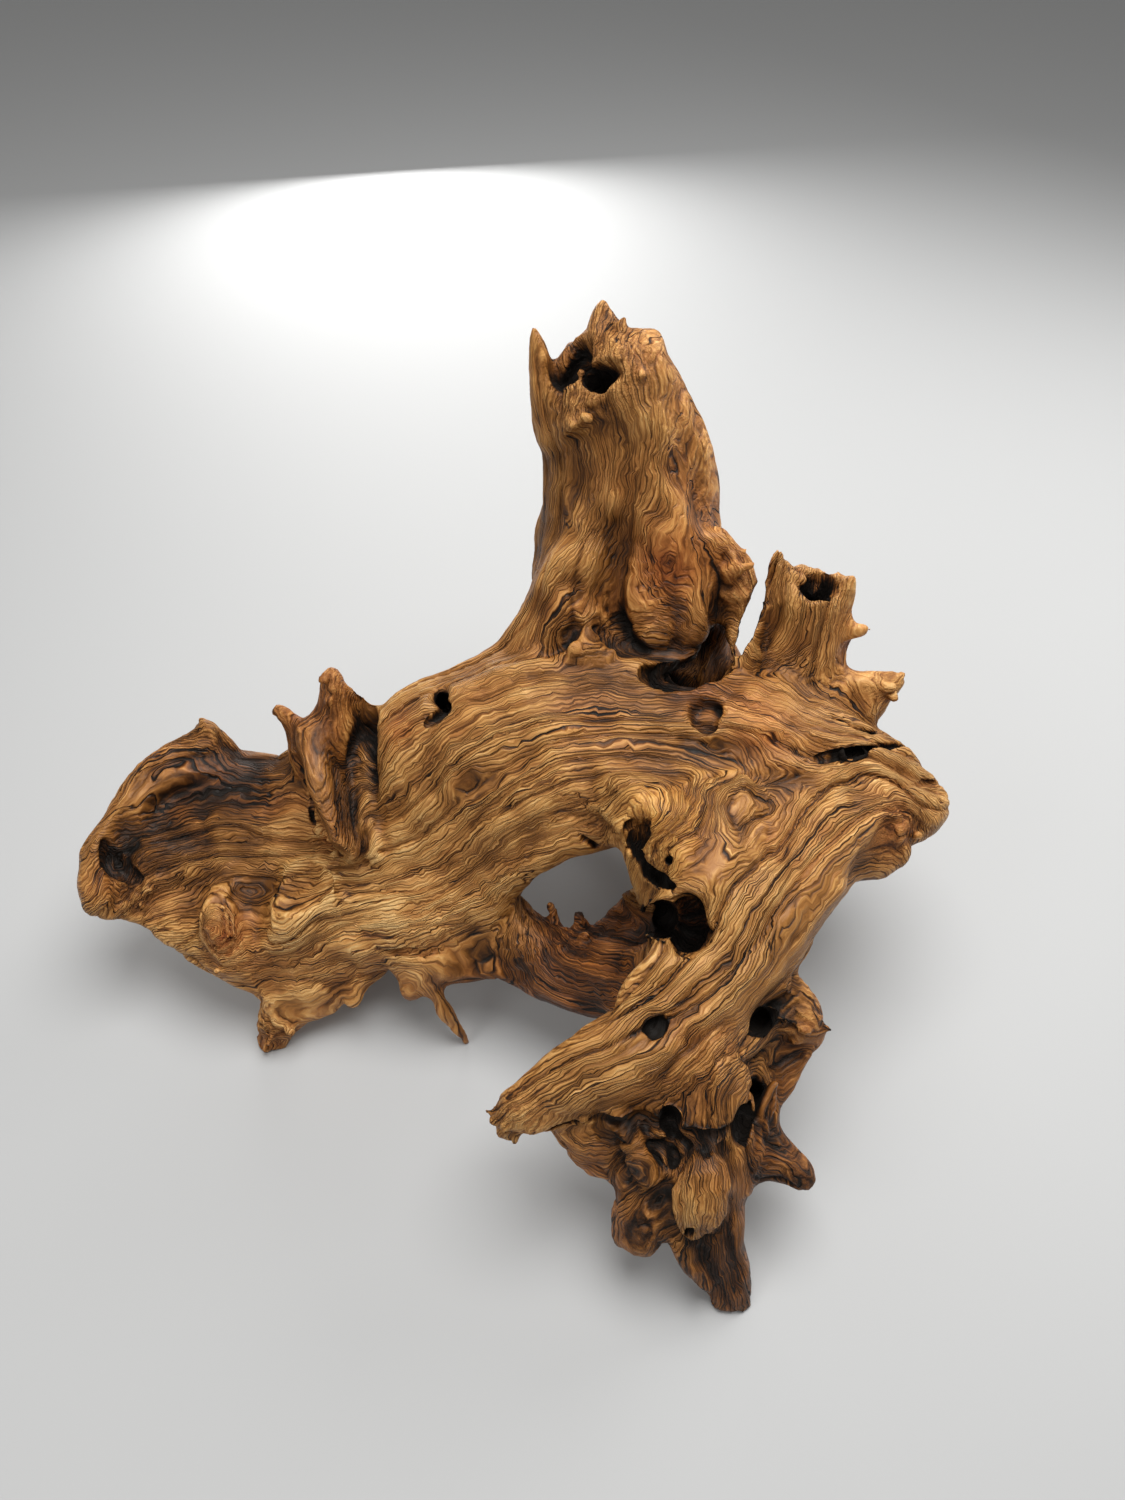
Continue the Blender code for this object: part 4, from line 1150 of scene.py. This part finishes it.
for _, far, _, height in knot_places(points, way):
    relief += height * np.exp(-far**2) - 0.35 * abs(height) * np.exp(-((far - 1.5) / 0.4)**2)
torn = torn_share(points)
rough = np.nonzero(torn > 0)[0]
for width, rise in TORN_SIZES:
    crests = np.abs(grain_noise(rough, width, TORN_STRETCH, TORN_STRETCH * APART))
    relief[rough] += torn[rough] * rise * (0.6 - 1.6 * crests)
for width, rise in LUMPS:
    relief += rise * noise_rows(points / width)
points += rows_of(root_wood.data, "normal") * relief[:, None]
points[:, 2] = np.maximum(points[:, 2], 0)
root_wood.data.vertices.foreach_set("co", points.astype(np.float32).ravel())
root_wood.data.update()
print("relief: from", round(relief.min() * 1000, 1), "to", round(relief.max() * 1000, 1), "mm")

# %% [markdown]
# ## Thin the net where it is flat
# Decimate brings the skin down to just under 200,000 triangles. A piece may have up to 200,000
# triangles. It removes points where the skin is smooth and keeps them at the edges of cracks and
# flutes, so the same count holds more detail than an even net of that size would.

# %% Thin the net
MOST_TRIANGLES = 198000

root_wood.data.calc_loop_triangles()
thin = root_wood.modifiers.new("thin", "DECIMATE")
thin.ratio = MOST_TRIANGLES / len(root_wood.data.loop_triangles)
thin.use_collapse_triangulate = True
baked(root_wood)
root_wood.data.shade_smooth()
points = rows_of(root_wood.data, "co")
normals = rows_of(root_wood.data, "normal")
print("skin:", len(points), "points,", len(root_wood.data.polygons), "triangles")

# %% [markdown]
# ## Store the rings on the finished skin
# The ring number is read where the skin would be without its flutes, because lines that followed
# every dent would look like a map's height lines. Round a knot the lines part and close again
# behind it, as water does round a stone, and inside it are rings of its own. The figure, how
# clearly the lines show, follows how rugged the limb is: faint on the trunk and strong on the arm.

# %% Store the rings
SOFTENING = 10
CALM = 60
PARTING = (1.9, 0.88)
EYE_RINGS = 1.1
FIGURE_RANGE = (0.45, 1.2)

ends = np.empty(len(root_wood.data.edges) * 2, np.int32)
root_wood.data.edges.foreach_get("vertices", ends)
starts, stops = ends.reshape(-1, 2).T
neighbours = np.bincount(ends, minlength=len(points))


def softened(values, times):
    """Values averaged with their neighbours' along the mesh."""
    for _ in range(times):
        around = np.bincount(starts, values[stops], len(values))
        around += np.bincount(stops, values[starts], len(values))
        values = 0.5 * values + 0.5 * around / neighbours
    return values


def softened_skin(times):
    return np.column_stack([softened(points[:, axis], times) for axis in range(3)])


calm = softened_skin(CALM)
grain, way = grain_at(calm)
ring = softened(grain["ring"], SOFTENING)
knot = np.zeros(len(points))
for nearest, far, radius, _ in knot_places(calm, way):
    hold = np.exp(-(far / PARTING[0])**2)
    ring -= PARTING[1] * hold * (ring - ring[nearest])
    inside = np.exp(-(far / 1.1)**2)
    ring += EYE_RINGS * radius * far * inside
    knot = np.maximum(knot, inside)
red, dark = grain["red"], grain["dark"]
# The shades add red and pale tints, painted shade in the recesses, and lighter and darker wood.
for x, y, z, radius, more_red, more_shade_and_tone in SHADES:
    share = np.exp(-(np.linalg.norm(points - (x, y, z), axis=1) / radius)**2)
    red += share * more_red
    dark += share * more_shade_and_tone
figure = np.clip(grain["rugged"], *FIGURE_RANGE)
for name, values in (("ring", ring), ("side", grain["side"]), ("red", red), ("dark", dark),
                     ("figure", figure)):
    store(root_wood.data, name, softened(values, SOFTENING if name != "ring" else 0))
store(root_wood.data, "knot", knot)
print("knots: on", int((knot > 0.5).sum()), "points")

# %% [markdown]
# ## Hollows, creases and worn ridges, with painted shade and highlight
# The hollows are painted darker the more closed in they are. This is painted shade, with the dust
# and old oil that gather there. Ridges are painted lighter, as a painted highlight with the polish
# that hands and cloths leave, and creases get painted shade. Rays sent out from each point tell
# how closed in it is. The difference between the skin and a softened copy of it tells creases from
# ridges, once for fine detail and once for broad forms.

# %% Store hollows and creases
RAYS = 14
RAY_LENGTH = 0.11
RAY_START = 0.0025
FINE, BROAD = 4, 40


def ray_directions(count):
    """Directions spread over a half sphere, more of them near its pole."""
    turn = math.pi * (3 - math.sqrt(5))
    made = []
    for i in range(count):
        height = math.sqrt(1 - (i + 0.5) / count)
        flat = math.sqrt(1 - height**2)
        made.append(Vector((flat * math.cos(i * turn), flat * math.sin(i * turn), height)))
    return made


def enclosure(points, normals):
    """The share of rays from each point that soon meet the root again."""
    tree = BVHTree.FromPolygons(points.tolist(), [p.vertices for p in root_wood.data.polygons])
    fans = ray_directions(RAYS)
    made = np.zeros(len(points))
    for i, (place, normal) in enumerate(zip(points, normals)):
        up = Vector(normal)
        turn = up.to_track_quat("Z", "X")
        start = Vector(place) + up * RAY_START
        for ray in fans:
            far = tree.ray_cast(start, turn @ ray, RAY_LENGTH)[3]
            if far is not None:
                made[i] += 1 - far / RAY_LENGTH
    return made / RAYS


def bulge(times):
    """How far each point stands out from the skin softened that often."""
    return ((points - softened_skin(times)) * normals).sum(1)


hollow = softened(enclosure(points, normals), 2)
fine = bulge(FINE)
broad = bulge(BROAD)
store(root_wood.data, "hollow", hollow)
store(root_wood.data, "crease", softened(fine, 1) / 0.0006 + broad / 0.004)
store(root_wood.data, "torn", softened(torn_share(points), 2))
print("most closed in:", round(hollow.max(), 2), "broad relief", round(broad.std() * 1000, 2), "mm")

# %% [markdown]
# ## The colours of the wood
# Colours are given as they look on a screen and turned into the linear values that light needs.
# One scale runs from the near black of a hollow's painted shade through warm brown to the gold of
# a worn ridge with its painted highlight.
# Red, pale and smoky wood are tints laid over it.

# %% Name the colours


def linear(red_part, green_part, blue_part):
    """A screen colour, 0 to 255, as linear light."""
    parts = [c / 255 for c in (red_part, green_part, blue_part)]
    return tuple(c / 12.92 if c <= 0.04045 else ((c + 0.055) / 1.055)**2.4 for c in parts)


WOOD_SCALE = [
    (0.00, linear(15, 8, 3)),
    (0.18, linear(49, 27, 8)),
    (0.38, linear(103, 63, 22)),
    (0.58, linear(154, 104, 51)),
    (0.78, linear(198, 148, 85)),
    (1.00, linear(228, 190, 128)),
]
RED_BROWN = (*linear(200, 100, 32), 1)
PALE = (*linear(206, 186, 140), 1)
SMOKE = (*linear(124, 104, 78), 1)
print("the wood's scale has", len(WOOD_SCALE), "colours")

# %% [markdown]
# ## The oiled wood
# The ring number, divided by the width of a year, counts years. Its fraction is the place within
# one year: pale early wood that darkens to a thin hard line. Fibres are noise that is read on the
# ring, the place across and the distance from the stump, so it is drawn out along the grain. The
# same values raise the surface a little, darken it and change its gloss, so that they agree.

# %% Mix the oiled wood
YEAR = 0.0036
THIN_YEAR = 0.0018


def blend(start, factor, low, high, mode="MIX"):
    """A colour between two colours."""
    return start.node("ShaderNodeMix", {"data_type": "RGBA", "blend_type": mode},
                      {0: factor, 6: low, 7: high}, 2)


def noise_on(start, vector, scale=1.0, detail=2.0, rough=0.5):
    """Smooth noise, about -1 to 1, read on a vector."""
    found = start.node("ShaderNodeTexNoise", {"noise_dimensions": "3D"},
                       {"Vector": vector, "Scale": scale, "Detail": detail, "Roughness": rough})
    return found * 2.0 - 1.0


def attribute(start, name):
    return start.node("ShaderNodeAttribute", {"attribute_name": name}, None, 2)


def oiled_wood():
    material = bpy.data.materials.new("oiled wood")
    material.use_nodes = True
    material.node_tree.nodes.clear()
    start = Wire(material.node_tree)
    place = start.node("ShaderNodeTexCoord", None, None, 3)
    ring, side, red, dark, figure, knot, hollow, crease, torn = (
        attribute(start, name)
        for name in ("ring", "side", "red", "dark", "figure", "knot", "hollow", "crease", "torn"))
    along = start.node("ShaderNodeVectorMath", {"operation": "DISTANCE"}, {0: place, 1: HUB}, 1)

    def grain(ring_scale, side_scale, along_scale, detail=2.0, rough=0.5, shift=0.0):
        """Noise drawn out along the grain."""
        vector = start.node("ShaderNodeCombineXYZ", None, {
            0: bent * ring_scale + shift, 1: side * side_scale, 2: along * along_scale})
        return noise_on(start, vector, 1.0, detail, rough)

    slow = noise_on(start, place, 8.0, 2.0)
    middling = noise_on(start, place, 34.0, 3.0)
    bent = ring + slow * 0.0026 + middling * 0.0005

    year_part = (bent / YEAR + 0.45 * grain(60.0, 0.0, 1.5)).sum("FRACT")
    late = start.node("ShaderNodeValToRGB", {"stops": [
        (0.0, 0.30), (0.10, 0.02), (0.62, 0.06), (0.82, 0.50), (0.92, 1.0), (1.0, 0.50)]},
        {0: year_part})
    thin = (bent / THIN_YEAR + 0.8 * grain(90.0, 20.0, 6.0, 2.0, 0.5, 3.0)).sum("FRACT")
    thin = (thin * 2.0 - 1.0).sum("ABSOLUTE")
    clear = noise_on(start, place, 14.0, 2.0).between(-0.35, 0.45) * figure
    fibres = grain(820.0, 300.0, 28.0, 3.0, 0.6)
    streaks = grain(400.0, 150.0, 11.0, 3.0, 0.62, 5.0)
    bands = grain(75.0, 30.0, 4.0, 3.0, 0.55, 11.0)
    patches = grain(26.0, 13.0, 7.0, 4.0, 0.6, 31.0)
    line = late * (0.20 + 0.85 * clear) * (0.75 + streaks)
    smoke = grain(110.0, 40.0, 7.0, 4.0, 0.65, 17.0).between(0.25, 0.85)
    checks = grain(200.0, 60.0, 7.0, 1.0, 0.4, 23.0).sum("ABSOLUTE")
    checks = (1 - checks / 0.07).clamped() * (bands * 3.0 + 0.3).clamped()
    # Painted highlight on ridges, with their wear, and painted shade in creases.
    ridge_wear_and_painted_light = (crease * 0.5).clamped() - (crease * -0.5).clamped()
    # Painted shade: closed-in hollows are darkened, with the dust and oil that gather there.
    painted_shade_and_oil = hollow.between(0.16, 0.80)

    value = 0.65 + 0.32 * streaks + 0.34 * fibres + 0.20 * patches + 0.15 * ridge_wear_and_painted_light + 0.10 * slow
    # The limbs' and shades' darkness is mostly painted shade on low parts, undersides and recesses.
    value = value - 0.39 * line - 0.12 * thin - 0.10 * smoke - 0.45 * dark - 0.55 * checks
    value = value - 0.16 * knot - 0.85 * painted_shade_and_oil
    value = value + torn * 0.20 * noise_on(start, place, 130.0, 3.0, 0.6)
    colour = value.node("ShaderNodeValToRGB", {"stops": WOOD_SCALE}, {0: value.clamped()})
    reddish = (0.60 * red + 0.30 * slow + 0.25 * streaks - 0.06).clamped()
    colour = blend(start, reddish * 0.8, colour, RED_BROWN, "SOFT_LIGHT")
    colour = blend(start, (red * -1.6 + 0.3 * middling * red).clamped() * 0.6, colour, PALE,
                   "SOFT_LIGHT")
    colour = blend(start, smoke * 0.35, colour, SMOKE, "MULTIPLY")

    height = fibres * 0.30 - late * (0.35 + 0.45 * clear) + streaks * 0.55 - checks * 1.0
    height = height + torn * noise_on(start, place, 260.0, 3.0, 0.6) * 0.9
    bump = start.node("ShaderNodeBump", None, {"Strength": 1.0, "Distance": 0.0026,
                                               "Height": height})
    rough = 0.48 + 0.12 * line - 0.06 * streaks + 0.40 * painted_shade_and_oil + 0.16 * torn - 0.06 * ridge_wear_and_painted_light
    shader = start.node("ShaderNodeBsdfPrincipled", None, {
        "Base Color": colour, "Roughness": rough.clamped(), "Normal": bump,
        "Coat Weight": 0.09 * (1 - painted_shade_and_oil), "Coat Roughness": 0.34, "Specular IOR Level": 0.24})
    start.node("ShaderNodeOutputMaterial", None, {"Surface": shader})
    return material


root_wood.data.materials.clear()
root_wood.data.materials.append(oiled_wood())
print("oiled wood:", len(root_wood.data.materials[0].node_tree.nodes), "nodes")

# %% [markdown]
# ## Floor, light and camera
# The root stands on a plain pale floor. One broad soft light hangs over it, a little to the
# back, with weaker ones behind it and in front, so that the flutes show without hard shadows. The camera
# stands where the photographer's eye was, at chest height, looking steeply down.

# %% Set the floor, the light and the camera
FLOOR_SIZE = 14.0
EYE = (0.066, -0.7985, 1.320)
LOOKING_DOWN = math.radians(47)
LENS = 27.07


def plain_material(name, colour, rough):
    material = bpy.data.materials.new(name)
    material.use_nodes = True
    shader = material.node_tree.nodes["Principled BSDF"]
    shader.inputs["Base Color"].default_value = colour
    shader.inputs["Roughness"].default_value = rough
    return material


def soft_light(name, place, aim, size, power, colour):
    lamp = bpy.data.lights.new(name, "AREA")
    lamp.shape = "DISK"
    lamp.size = size
    lamp.energy = power
    lamp.color = colour
    obj = bpy.data.objects.new(name, lamp)
    bpy.context.scene.collection.objects.link(obj)
    obj.location = place
    obj.rotation_euler = (Vector(aim) - Vector(place)).to_track_quat("-Z", "Y").to_euler()


build = bmesh.new()
bmesh.ops.create_grid(build, x_segments=1, y_segments=1, size=FLOOR_SIZE / 2)
floor = new_object(build, "floor")
floor.data.materials.append(plain_material("pale floor", (*linear(180, 182, 184), 1), 0.7))

AIM = (0.0, 0.0, 0.3)
soft_light("overhead", (0.35, 0.15, 2.8), AIM, 2.2, 82, (1.0, 0.98, 0.95))
soft_light("right_back", (1.9, 1.5, 1.6), AIM, 1.4, 26, (1.0, 0.98, 0.95))
soft_light("left_front", (-1.9, -1.5, 2.1), AIM, 1.4, 16, (1.0, 0.98, 0.95))
soft_light("low_back", (-0.4, 2.6, 0.8), (0.0, 0.3, 0.0), 1.6, 30, (1.0, 0.98, 0.95))
bpy.context.scene.view_settings.view_transform = "Standard"
world = bpy.data.worlds.new("soft room")
world.use_nodes = True
world.node_tree.nodes["Background"].inputs["Color"].default_value = (1.0, 0.98, 0.95, 1)
world.node_tree.nodes["Background"].inputs["Strength"].default_value = 0.28
bpy.context.scene.world = world

camera = bpy.data.objects.new("eye", bpy.data.cameras.new("eye"))
bpy.context.scene.collection.objects.link(camera)
camera.location = EYE
camera.rotation_euler = (math.pi / 2 - LOOKING_DOWN, 0, 0)
camera.data.sensor_fit = "AUTO"
camera.data.sensor_width = 36
camera.data.lens = LENS
bpy.context.scene.camera = camera
print("camera at", EYE)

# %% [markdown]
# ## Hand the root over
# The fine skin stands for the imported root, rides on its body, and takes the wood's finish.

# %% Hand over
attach(root_wood, "root")
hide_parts("root")
